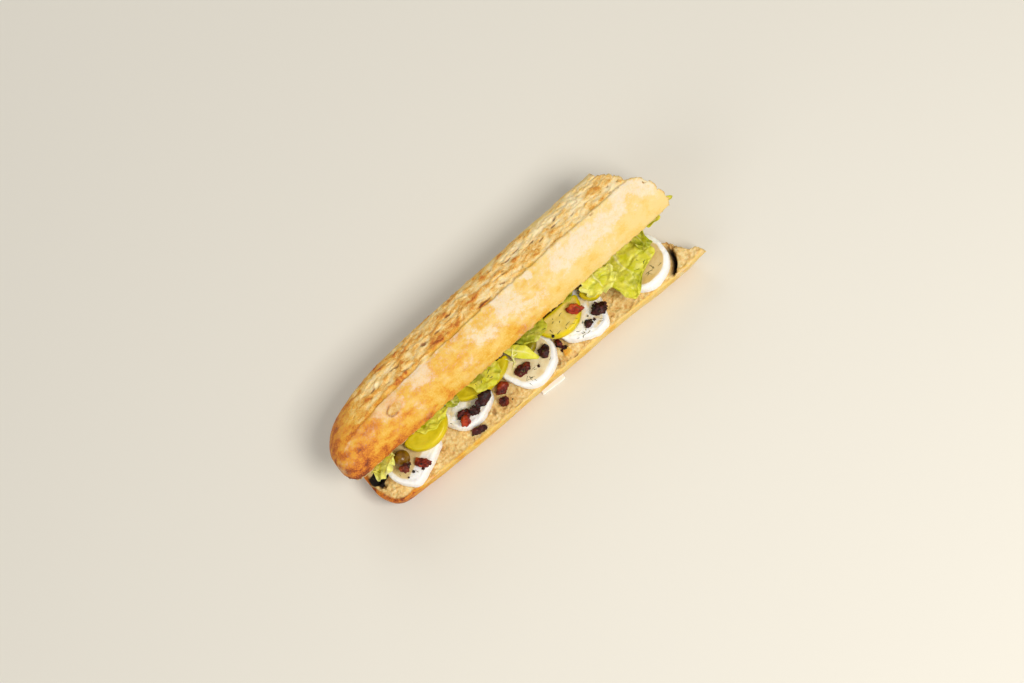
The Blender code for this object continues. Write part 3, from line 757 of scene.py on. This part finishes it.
def slash_mask(co, x, turn):
    """Where the crust is slashed open, between ragged edges."""
    edge = 0.08 * lumps(co, 14 * MM, 71) + 0.14 * layered(co, 4 * MM, 3, 72)
    opened = ease(turn + edge, EAR_TURN - 0.02, EAR_TURN + 0.1)
    opened *= 1 - ease(turn + 3 * edge, SLASH_END_TURN - 0.35, SLASH_END_TURN + 0.15)
    return opened * slash_along(x)


def crater_masks(co, x, turn):
    """The burst blister: its bowl, its raised rim, and its left side, where the rim is higher and browner and
    carries painted shade.
    """
    reach = np.hypot((x - CRATER[0]) / CRATER_REACH[0], (turn - CRATER[1]) * LID_HEIGHT / CRATER_REACH[1])
    reach += 0.5 * layered(co, 4 * MM, 4, 73)
    left = 1 - ease(x, CRATER[0] - 4 * MM, CRATER[0] + 3 * MM)
    return 1 - ease(reach, 0.6, 1.0), ridge(reach - 1.0, 0.16) * (0.3 + 0.7 * left), left


def ear_relief(co, x, turn, slash):
    """The raised lip of crust along the slash and the swollen dough just above it."""
    lip = ridge(turn - EAR_TURN + 0.03, 0.05) * slash_along(x)
    lift = -0.9 + 1.0 * ease(x, -70 * MM, 10 * MM) + 0.9 * lumps(co, 5 * MM, 77)
    fill = 1.6 - 0.7 * ease(x, -60 * MM, 10 * MM) + 0.9 * layered(co, 7 * MM, 3, 79)
    return MM * (lip * lift + above_ear(x, turn) * slash * fill)


def above_ear(x, turn):
    """The strip of torn dough along the ear."""
    return ridge(turn - EAR_TURN - 0.06, 0.10) * slash_along(x)


def lid_toast(x, turn, co):
    """How brown the crust is: darkest at the heel, palest at the torn end."""
    toast = along_x(x, LID_TOAST)
    toast += 0.16 * (1 - ease(turn, 0.0, 0.4)) * (1 - ease(x, 20 * MM, 90 * MM))
    return toast + 0.2 * layered(co, 13 * MM, 3, 410)


def slash_toast(co, x, crust_toast, webs, folds, strip):
    """How brown the torn dough is: browner on its webs, along the ear and at mid-length."""
    patchy = ease(layered(co * np.array((0.6, 1, 1)), 8 * MM, 4, 430), -0.25, 0.4)
    toast = 0.12 + 0.3 * ease(crust_toast, 0.2, 0.9) + 0.42 * patchy * (0.4 + 0.6 * webs)
    toast += 0.3 * folds + 0.42 * strip * ease(lumps(co, 6 * MM, 431), -0.5, 0.6)
    return toast + 0.12 * ridge(x + 10 * MM, 50 * MM)


def lid_flour(x, turn, co):
    """Where flour lies: a band in front of the slash, patches at the heel and a spill by the ear."""
    band = ease(turn, *FLOUR_FADES_IN) * (1 - ease(turn, EAR_TURN - 0.03, EAR_TURN + 0.03))
    far = 0.4 * ease(turn, SLASH_END_TURN, SLASH_END_TURN + 0.3)
    patches = ease(layered(co * np.array((0.7, 1, 1)), 11 * MM, 4, 400), -0.2, 0.3)
    more = along_x(x, LID_FLOUR)
    flour = (band * more + far) * (0.3 + 0.85 * patches) + 0.3 * patches * more
    blob = np.hypot(x - FLOUR_BLOB[0], (turn - FLOUR_BLOB[1]) * LID_HEIGHT)
    return flour + 1.5 * (1 - ease(blob, 1.5 * MM, 4 * MM))


def lid_crumb(normals, x, out):
    """Where the lid shows crumb: on its cut face and at the torn end."""
    down = -(normals[:, 1] * math.sin(LID_TILT) + normals[:, 2] * math.cos(LID_TILT))
    return np.maximum(ease(down, 0.45, 0.75) * (out < 4 * MM), torn_face(normals, x))


def make_lid():
    obj = fine_piece("bread_lid", 2, LID_SPACING, BREAD_CREASE)
    mesh = obj.data
    co, normals = vertices_of(mesh), normals_of(mesh)
    x = own_place(co)[:, 0]
    turn, out = lid_turn(co)
    crumb = lid_crumb(normals, x, out)
    crust = 1 - crumb
    slash = slash_mask(co, x, turn) * crust
    crater, rim, left = crater_masks(co, x, turn)
    crater, rim = crater * crust, rim * crust
    crumb_depth, holes = crumb_relief(co, 100)
    slash_depth, pit, webs, folds = slash_relief(co, 200)
    pit = np.maximum(0.7 * pit, named_pits(co, x, turn)) * slash
    depth = crust_relief(co, 300) * crust * (1 - slash) + slash_depth * slash + crumb_depth * crumb
    depth += MM * (0.4 * rim - 0.9 * crater - 1.0 * pit)
    depth += ear_relief(co, x, turn, slash) * crust + torn_relief(co, 78) * torn_face(normals, x)
    push(mesh, depth)
    toast = lid_toast(x, turn, co)
    torn_dough = slash_toast(co, x, toast, webs, folds, above_ear(x, turn) * crust)
    toast = toast * (1 - slash) + torn_dough * slash + 0.35 * rim
    toast = toast * (1 - crater) + (0.15 + 0.6 * folds) * crater
    paint(mesh, "crumb", crumb)
    paint(mesh, "slash", slash + crater)
    # The slash's pits, the crumb's holes and the crater's bowl darkened: painted shade
    paint(mesh, "pit", np.maximum(0.85 * pit, 0.45 * crumb * holes) + 0.2 * crater)
    # The crater's left rim darkened towards black: painted shade
    paint(mesh, "painted_shade", 0.45 * rim * left)
    paint(mesh, "flour", lid_flour(x, turn, co) * (1 - slash) * crust * (1 - crater))
    paint(mesh, "toast", toast)
    return finished(obj, "bread_lid", bread_material("bread_lid"))


def crescent(own):
    """The hollow in the crumb along the right of the last slice of cheese."""
    dx, dy = own[:, 0] - CRESCENT_CENTRE[0], own[:, 1] - CRESCENT_CENTRE[1]
    turn = np.arctan2(dy, dx)
    ends = ease(turn, *CRESCENT_FADES_IN) * (1 - ease(turn, *CRESCENT_FADES_OUT))
    return ends * np.exp(-(((np.hypot(dx, dy) - CRESCENT_RADIUS) / CRESCENT_HALF_WIDTH) ** 4))


def pocket(co, own):
    """How dark the painted shade in the pocket by the heel is: over its walls and floor, up to a ragged
    mouth.
    """
    across = (own[:, 0] - POCKET_CENTRE[0]) / POCKET_REACH[0]
    along = (own[:, 1] - POCKET_CENTRE[1]) / POCKET_REACH[1]
    reach = np.hypot(across, along) + 0.4 * layered(co, 3 * MM, 3, 644)
    within = ease(own[:, 2], *POCKET_DARK_FROM) * (1 - ease(own[:, 2], *POCKET_DARK_TO))
    return within * (1 - ease(reach, 0.95, 1.2))


def toasted_bit(co, own):
    """A toasted bit of crumb that stands up between the third and fourth slices."""
    reach = np.hypot(own[:, 0] - TOASTED_CRUMB[0], own[:, 1] - TOASTED_CRUMB[1])
    return 1 - ease(reach + 1.6 * MM * lumps(co, 3 * MM, 641), *TOASTED_EDGE)


def rim_distance(co, edge):
    """Each vertex's distance to the nearest vertex of an edge."""
    tree = KDTree(int(edge.sum()))
    for place in co[edge]:
        tree.insert(place, 0)
    tree.balance()
    return np.array([tree.find(place)[2] for place in co])


def bottom_crumb(co, normals, own, top, heel):
    """Where the bottom half shows crumb: its torn end, and inside its rim of crust, wider at the heel."""
    walls = (own[:, 2] > CUT_Z - 2 * MM) & (normals[:, 2] < 0.3) & (normals[:, 0] < 0.35)
    distance = rim_distance(co, walls) + 0.7 * MM * lumps(co, 4 * MM, 640)
    inside = ease(distance, 1.1 * MM + 1.2 * MM * heel, 2.3 * MM + 1.6 * MM * heel)
    return np.maximum(top * inside, torn_face(normals, own[:, 0]))


def bottom_toast(co, x, z, heel, bit):
    """How brown the bottom half's crust is: most at the heel and by the ground."""
    toast = 0.30 + 0.42 * heel + 0.22 * (1 - ease(z, 2 * MM, 14 * MM)) + 0.2 * layered(co, 10 * MM, 3, 610)
    return toast + 0.2 * (1 - ease(x, -100 * MM, -10 * MM)) - 0.1 * ease(x, 0.0, 90 * MM) + 0.3 * bit


def make_bottom():
    obj = fine_piece("bread_bottom", 2, BOTTOM_SPACING, BREAD_CREASE)
    mesh = obj.data
    co, normals = vertices_of(mesh), normals_of(mesh)
    own = own_place(co)
    x, z = own[:, 0], own[:, 2]
    top = ease(normals[:, 2], 0.35, 0.65) * ease(z, 6 * MM, 8 * MM)
    heel = 1 - ease(x, *HEEL_CRUST_X)
    crumb = bottom_crumb(co, normals, own, top, heel)
    crumb_depth, holes = crumb_relief(co, 500)
    bit = toasted_bit(co, own) * top
    above_ground = ease(z, 0.2 * MM, 3 * MM)
    depth = crust_relief(co, 600) * (1 - crumb) * above_ground + crumb_depth * crumb * (1 - bit)
    depth += bit * (1.6 + 0.8 * layered(co, 2.5 * MM, 3, 642)) * MM
    depth += torn_relief(co, 643) * torn_face(normals, x) * above_ground
    gap = crescent(own) * top
    moved = co + normals * depth[:, None]
    moved[:, 2] = np.maximum(moved[:, 2] - CRESCENT_DEPTH * gap, 0.0)
    move_vertices(mesh, moved)
    mottle = ease(layered(co * np.array((0.6, 1, 1)), 8 * MM, 4, 620), -0.2, 0.4)
    paint(mesh, "crumb", crumb * (1 - bit))
    # The crumb's holes darkened: painted shade
    paint(mesh, "pit", 0.5 * crumb * holes)
    # Near black in the crescent hollow and the pocket: painted shade
    paint(mesh, "painted_shade", np.maximum(gap, pocket(co, own)))
    paint(mesh, "flour", 0.4 * mottle * (1 - crumb) * (1 - bit))
    paint(mesh, "toast", bottom_toast(co, x, z, heel, bit))
    return finished(obj, "bread_bottom", bread_material("bread_bottom"))


# Filling


def outline_reach(co, centre):
    """Each vertex's distance inside its piece's outline, seen from above."""
    dx, dy = co[:, 0] - centre.x, co[:, 1] - centre.y
    radius, turn = np.hypot(dx, dy), np.arctan2(dy, dx)
    index = ((turn + math.pi) / math.tau * OUTLINE_BINS).astype(int) % OUTLINE_BINS
    edge = np.zeros(OUTLINE_BINS)
    np.maximum.at(edge, index, radius)
    edge = (np.roll(edge, 1) + edge + np.roll(edge, -1)) / 3
    places = (np.arange(-1, OUTLINE_BINS + 1) + 0.5) / OUTLINE_BINS * math.tau - math.pi
    ring = np.concatenate(([edge[-1]], edge, [edge[0]]))
    return np.interp(turn, places, ring) - radius


def cut_corner(co, middle):
    """The flat cut across the first slice's corner, where its white side shows."""
    toward_cut = (co[:, 0] - middle.x) * math.cos(CUT_TURN) + (co[:, 1] - middle.y) * math.sin(CUT_TURN)
    return ease(toward_cut, CUT_FROM_MIDDLE, CUT_FROM_MIDDLE + 2 * MM)


def rind_mask(index, co, middle, inside, side, crumbly):
    """Where a slice is white: its side, a lip round its face, and most of the face of the white slices."""
    lip_reach = inside + 0.6 * MM * lumps(co, 4 * MM, 700 + index)
    rind = np.maximum(side, 1 - ease(lip_reach, RIND_WIDTH - 0.6 * MM, RIND_WIDTH + 0.4 * MM))
    if index == 1:
        rind = np.maximum(rind, cut_corner(co, middle))
    if index in WHITE_CHEESES:
        rind += ease(layered(co, 14 * MM, 3, 705 + index) + 0.4 * crumbly, -0.35, 0.0)
    return np.clip(rind, 0, 1)


def make_cheese(index, material):
    node = f"cheese_{index}"
    obj = fine_piece(node, 1, CHEESE_SPACING, SLICE_CREASE)
    mesh = obj.data
    low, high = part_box(node)
    co, normals = vertices_of(mesh), normals_of(mesh)
    middle = (low + high) / 2
    inside = outline_reach(co, middle)
    side = 1 - ease(np.abs(normals[:, 2]), 0.55, 0.85)
    crumbly = layered(co, 3.4 * MM, 4, 720 + index)
    rind = rind_mask(index, co, middle, inside, side, crumbly)
    wrinkles = layered(co * np.array((1, 1, 0.3)), 2.6 * MM, 3, 710 + index)
    cracks, _ = cells(co, 5.5 * MM, 730 + index)
    groove = ridge(inside - RIND_WIDTH, 0.6 * MM) * (1 - side)
    rough = WHITE_RELIEF if index in WHITE_CHEESES else 1.0
    depth = 0.3 * wrinkles * rind + (0.24 * crumbly - 0.25 * ease(cracks, 0.62, 0.9)) * (1 - side)
    depth += 0.4 * lumps(co, 9 * MM, 740 + index) - 0.25 * groove
    depth += 0.35 * lumps(co * np.array((1, 1, 0.4)), 4.5 * MM, 745 + index) * side
    push(mesh, rough * depth * MM)
    paint(mesh, "rind", rind)
    # The first and last slices get a tan face as painted shade, on top of random tan patches
    tan_and_shade = SHADED_CHEESES.get(index, 0.0) + 0.6 * ease(lumps(co, 11 * MM, 750 + index), 0.0, 0.9)
    paint(mesh, "tan_and_shade", tan_and_shade * (1 - rind))
    return finished(obj, node, material)


def make_avocado(index, material):
    node = f"avocado_{index}"
    obj = fine_piece(node, 2, AVOCADO_SPACING, SLICE_CREASE)
    mesh = obj.data
    low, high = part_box(node)
    co, normals = vertices_of(mesh), normals_of(mesh)
    inside = outline_reach(co, (low + high) / 2)
    face = ease(normals[:, 2], 0.5, 0.9)
    depth = 0.3 * lumps(co, 9 * MM, 760 + index) + 0.1 * lumps(co, 2.5 * MM, 770 + index)
    depth -= 0.5 * ease(inside, 2.5 * MM, 7 * MM) * face
    push(mesh, depth * MM)
    paint(mesh, "rim", np.maximum(1 - face, 1 - ease(inside, 1.4 * MM, 3.6 * MM)))
    paint(mesh, "pale", np.full(len(co), 1.0 if index == PALE_AVOCADO else 0.0))
    # One slice lies in shadow: its flesh darkened with painted shade
    paint(mesh, "shade", np.full(len(co), 0.8 if index == SHADED_AVOCADO else 0.0))
    return finished(obj, node, material)


def make_tomato(index, material):
    node = f"tomato_{index}"
    obj = fine_piece(node, 2)
    mesh = obj.data
    co = vertices_of(mesh)
    folds = layered(co, 3.8 * MM, 4, 800 + index)
    ridges = np.abs(layered(co, 2.2 * MM, 3, 820 + index))
    crease = (0.3 - ridges).clip(0, 1)
    fray = layered(co, 1.4 * MM, 2, 840 + index)
    push(mesh, (0.5 + 2.3 * folds - 2.8 * crease + 0.6 * fray) * MM)
    # Redder and orange-brown on raised folds, nearly black in low ones: partly the tomato's own colour,
    # partly painted highlight and painted shade
    paint(mesh, "red", RED_TOMATOES.get(index, 0.0) + 0.5 * (folds - 0.15))
    paint(mesh, "torn", TORN_TOMATOES.get(index, 0.0) * ease(folds, -0.1, 0.5))
    return finished(obj, node, material)


def make_olive():
    obj = fine_piece("olive", 2)
    mesh = obj.data
    co = vertices_of(mesh)
    push(mesh, (0.25 * lumps(co, 6 * MM, 840) + 0.08 * layered(co, 2 * MM, 3, 841)) * MM)
    return finished(obj, "olive", olive_material())


def leaf_grid(co, run):
    """Each vertex's place along the leaf from 0 to 1 and across it from -1 to 1, with length and width."""
    along = co[:, 0] * run.x + co[:, 1] * run.y
    across = -co[:, 0] * run.y + co[:, 1] * run.x
    length = along.max() - along.min()
    v = (along - along.min()) / length
    band = np.clip((v * LEAF_BANDS).astype(int), 0, LEAF_BANDS - 1)
    middle, half = np.zeros(LEAF_BANDS), np.ones(LEAF_BANDS)
    for k in range(LEAF_BANDS):
        here = across[band == k]
        middle[k] = (here.max() + here.min()) / 2
        half[k] = (here.max() - here.min()) / 2
    places = (np.arange(LEAF_BANDS) + 0.5) / LEAF_BANDS
    u = (across - np.interp(v, places, middle)) / np.interp(v, places, half)
    return u, v, length, 2 * half.mean()


def leaf_veins(index, flat, u, v, length, width, rib_width):
    """The middle rib, which narrows to the tip, and fainter side veins."""
    rib = ridge(u * width, rib_width * MM * (1.3 - v))
    wobble = 2.4 * MM * lumps(flat, 8 * MM, 990 + index)
    branch = (v * length - 0.9 * np.abs(u) * width / 2 + wobble) / (9 * MM)
    side_vein = ridge(branch - np.round(branch), 0.07) * (1 - 0.7 * np.abs(u))
    return np.clip(np.maximum(rib * (1 - ease(v, 0.6, 0.95)), 0.22 * side_vein), 0, 1)


def make_lettuce(index, material):
    node = f"lettuce_{index}"
    obj = fine_piece(node, 3)
    mesh = obj.data
    co, normals = vertices_of(mesh), normals_of(mesh)
    run = Vector(SIDEWAYS_LEAVES.get(index, FORWARD)).normalized()
    u, v, length, width = leaf_grid(co, run)
    frill, rib_width, green, crumple = LEAF_LOOKS.get(index, PLAIN_LEAF)
    flat = co * np.array((1, 1, 0))
    edge = np.clip(np.maximum(np.abs(u) ** 3, ease(v, 0.72, 1.0)), 0, 1)
    ruffle = lumps(flat, 3.6 * MM, 900 + index) + 0.5 * lumps(flat, 1.8 * MM, 920 + index)
    creases = np.abs(layered(flat, 9 * MM, 3, 940 + index))
    wrinkle = layered(flat, 3.6 * MM, 3, 950 + index)
    crumpled = crumple * (0.7 * ease(creases, 0.0, 0.35) + 0.35 * wrinkle)
    co[:, 2] += (edge * frill * (1.1 * ruffle + 0.9) + crumpled) * MM
    co[:, 0] += edge * frill * MM * lumps(flat, 4 * MM, 960 + index)
    co[:, 1] += edge * frill * MM * lumps(flat, 4 * MM, 980 + index)
    vein = leaf_veins(index, flat, u, v, length, width, rib_width)
    co += normals * (0.3 * MM * (vein - 0.3) * np.sign(normals[:, 2]))[:, None]
    move_vertices(mesh, co)
    pale_edge = 0.4 * edge * ease(frill, 1.4, 2.0)
    # Paler on the raised wrinkles: painted highlight
    high = 0.3 * ease(wrinkle, 0.1, 0.6)
    # Deeper green low in the creases: painted shade
    low = 0.32 * ease(1 - 2.4 * creases - 0.5 * wrinkle, 0.55, 1.1)
    shade = 0.22 * ease(layered(flat, 12 * MM, 3, 1020 + index), 0.0, 0.7)
    paint(mesh, "vein", vein * 0.7 + pale_edge + high)
    paint(mesh, "green", green + shade + low)
    return finished(obj, node, material)


def make_sliver(material):
    obj = fine_piece("cheese_sliver", 3, SLIVER_SPACING, SLIVER_CREASE)
    mesh = obj.data
    co = vertices_of(mesh)
    push(mesh, 0.12 * MM * layered(co, 4 * MM, 3, 1050))
    co = vertices_of(mesh)
    co[:, 2] = np.maximum(co[:, 2], 0.0)
    move_vertices(mesh, co)
    paint(mesh, "rind", np.ones(len(co)))
    paint(mesh, "tan_and_shade", np.zeros(len(co)))
    return finished(obj, "cheese_sliver", material)


# Small loose things


class Landing:
    """The dressed pieces, asked for the surface under a place."""

    def __init__(self, pieces):
        self.trees = []
        for obj in pieces:
            bm = bmesh.new()
            bm.from_mesh(obj.data)
            self.trees.append(BVHTree.FromBMesh(bm))
            bm.free()

    def under(self, x, y):
        """The highest point and its normal under x, y, or None."""
        best = None
        for tree in self.trees:
            place, normal, _, _ = tree.ray_cast(Vector((x, y, LOOK_DOWN_FROM)), Vector((0, 0, -1)))
            if place is not None and (best is None or place.z > best[0].z):
                best = (place, normal)
        return best


def add_thread(bm, points, radius):
    """A thin tapered tube along points."""
    rings = []
    for i, point in enumerate(points):
        ahead = points[min(i + 1, len(points) - 1)] - points[max(i - 1, 0)]
        one = ahead.cross(Vector((0, 0, 1))).normalized()
        two = one.cross(ahead).normalized()
        thick = radius * (1.0 - 0.75 * i / (len(points) - 1))
        ring = []
        for k in range(THREAD_SIDES):
            turn = math.tau * k / THREAD_SIDES
            ring.append(bm.verts.new(point + thick * (math.cos(turn) * one + math.sin(turn) * two)))
        rings.append(ring)
    for one, two in zip(rings, rings[1:]):
        for k in range(THREAD_SIDES):
            after = (k + 1) % THREAD_SIDES
            bm.faces.new((one[k], one[after], two[after], two[k]))
    bm.faces.new(list(reversed(rings[0])))
    bm.faces.new(rings[-1])


def thread_points(landing, start, turn, length, curl, lift):
    """Places along a thread that lies on what is under it."""
    points = []
    step = length / (THREAD_POINTS - 1)
    x, y = start
    for _ in range(THREAD_POINTS):
        found = landing.under(x, y)
        if found is None:
            break
        points.append(found[0] + Vector((0, 0, lift)))
        x += step * math.cos(turn)
        y += step * math.sin(turn)
        turn += curl
    return points


def make_stems(landing, material):
    bm = bmesh.new()
    start = (SPRIG_FORK[0] + SHIFT.x, SPRIG_FORK[1] + SHIFT.y)
    for x, y in STEM_ENDS:
        reach = Vector((x - SPRIG_FORK[0], y - SPRIG_FORK[1]))
        turn = math.atan2(reach.y, reach.x)
        points = thread_points(landing, start, turn, reach.length, STEM_CURL, STEM_LIFT)
        add_thread(bm, points, STEM_RADIUS)
    mesh = made_mesh("sprig_stems", bm)
    paint(mesh, "vein", np.full(len(mesh.vertices), 0.7))
    return finished(link("sprig_stems", mesh), None, material)


def make_dill(landing):
    draw = random.Random(11)
    bm = bmesh.new()
    for x, y, reach_x, reach_y, count in DILL_PATCHES:
        for _ in range(count):
            start = (
                x + SHIFT.x + reach_x * draw.uniform(-1, 1),
                y + SHIFT.y + reach_y * draw.uniform(-1, 1),
            )
            turn = draw.uniform(0, math.tau)
            length = draw.uniform(*DILL_LENGTHS_MM) * MM
            curl = draw.uniform(-DILL_CURL, DILL_CURL)
            points = thread_points(landing, start, turn, length, curl, DILL_LIFT)
            heights = [point.z for point in points]
            if len(points) >= FEWEST_POINTS and max(heights) - min(heights) < DILL_STEP:
                add_thread(bm, points, draw.uniform(*DILL_RADII_MM) * MM)
    return finished(link("dill", made_mesh("dill", bm)), None, dill_material())


def add_crumb(bm, place, size, draw):
    """A small uneven lump."""
    turn = draw.uniform(0, math.tau)
    axis = Vector((draw.random(), draw.random(), 1)).normalized()
    matrix = Matrix.Translation(place) @ Matrix.Rotation(turn, 4, axis)
    made = bmesh.ops.create_icosphere(bm, subdivisions=2, radius=size, matrix=matrix)
    for vert in made["verts"]:
        away = vert.co - place
        vert.co = place + away * draw.uniform(0.6, 1.25)


def make_shreds(landing, material):
    """Small torn bits of tomato round the larger pieces."""
    draw = random.Random(23)
    bm = bmesh.new()
    for x, y, reach_x, reach_y, count in SHRED_PATCHES:
        for _ in range(count):
            place_x = x + SHIFT.x + reach_x * draw.uniform(-1, 1)
            place_y = y + SHIFT.y + reach_y * draw.uniform(-1, 1)
            place, _ = landing.under(place_x, place_y)
            size = draw.uniform(*SHRED_SIZES_MM) * MM
            if place.z < SHREDS_BELOW:
                add_crumb(bm, place + Vector((0, 0, 0.35 * size)), size, draw)
    return finished(link("tomato_shreds", made_mesh("tomato_shreds", bm)), None, material)


def make_crumbs(landing):
    """Loose crumbs on the bottom half, wherever it lies open and nearly level."""
    draw = random.Random(5)
    bm = bmesh.new()
    for _ in range(CRUMB_COUNT):
        x = draw.uniform(*CRUMB_X_MM) * MM + SHIFT.x
        y = draw.uniform(*CRUMB_Y_MM) * MM + SHIFT.y
        found = landing.under(x, y)
        if found and found[1].z > 0.6 and found[0].z < CUT_Z + 2 * MM:
            size = draw.uniform(*CRUMB_SIZES_MM) * MM
            add_crumb(bm, found[0] + Vector((0, 0, 0.4 * size)), size, draw)
    return finished(link("crumbs", made_mesh("crumbs", bm)), None, crumb_material())


# Stage


def make_floor():
    bm = bmesh.new()
    bmesh.ops.create_grid(bm, x_segments=2, y_segments=2, size=FLOOR_SIZE)
    floor = link("floor", made_mesh("floor", bm))
    floor.location.z = -FLOOR_DROP
    floor.data.materials.append(Paint("floor", 0.8, Base_Color=FLOOR_COLOUR).material)


def add_light(name, place, size, power, colour):
    lamp = bpy.data.lights.new(name, "AREA")
    lamp.size = size
    lamp.energy = power
    lamp.color = colour
    obj = bpy.data.objects.new(name, lamp)
    obj.location = place
    obj.rotation_euler = (-Vector(place)).to_track_quat("-Z", "Y").to_euler()
    bpy.context.scene.collection.objects.link(obj)


def make_lights():
    for lamp in LAMPS:
        add_light(*lamp)
    world = bpy.data.worlds.new("studio")
    world.use_nodes = True
    room = world.node_tree.nodes["Background"]
    room.inputs["Color"].default_value = ROOM_COLOUR
    room.inputs["Strength"].default_value = ROOM_STRENGTH
    bpy.context.scene.world = world
    bpy.context.scene.view_settings.view_transform = "Standard"


def make_camera():
    """A long lens at the photograph's angle, rolled as the picture is."""
    along = Vector((1, 0, 0))
    climb = Vector((0, math.sin(VIEW_ELEVATION), math.cos(VIEW_ELEVATION)))
    back = Vector((0, -math.cos(VIEW_ELEVATION), math.sin(VIEW_ELEVATION)))
    right = math.cos(PICTURE_TURN) * along - math.sin(PICTURE_TURN) * climb
    up = math.sin(PICTURE_TURN) * along + math.cos(PICTURE_TURN) * climb
    place = Vector(AIM_POINT) + CAMERA_DISTANCE * back
    lens = bpy.data.cameras.new("camera")
    lens.sensor_width = SENSOR_WIDTH
    lens.lens = SENSOR_WIDTH * CAMERA_DISTANCE / (PICTURE_WIDTH * METRES_PER_PIXEL)
    camera = bpy.data.objects.new("camera", lens)
    turn = Matrix((right, up, back)).transposed().to_4x4()
    camera.matrix_world = Matrix.Translation(place) @ turn
    bpy.context.scene.collection.objects.link(camera)
    bpy.context.scene.camera = camera


def make_filling(tomato, lettuce):
    cheese, avocado = cheese_material(), avocado_material()
    pieces = [make_cheese(i, cheese) for i in range(1, CHEESE_COUNT + 1)]
    pieces += [make_avocado(i, avocado) for i in range(1, AVOCADO_COUNT + 1)]
    pieces += [make_tomato(i, tomato) for i in range(1, TOMATO_COUNT + 1)]
    pieces += [make_lettuce(i, lettuce) for i in range(1, LEAF_COUNT + 1)]
    pieces.append(make_olive())
    make_sliver(cheese)
    return pieces


make_camera()
make_lights()
make_floor()
lid = make_lid()
bottom = make_bottom()
tomato, lettuce = tomato_material(), lettuce_material()
landing = Landing([lid, bottom, *make_filling(tomato, lettuce)])
make_stems(landing, lettuce)
make_shreds(landing, tomato)
make_dill(landing)
make_crumbs(landing)

bpy.context.view_layer.update()
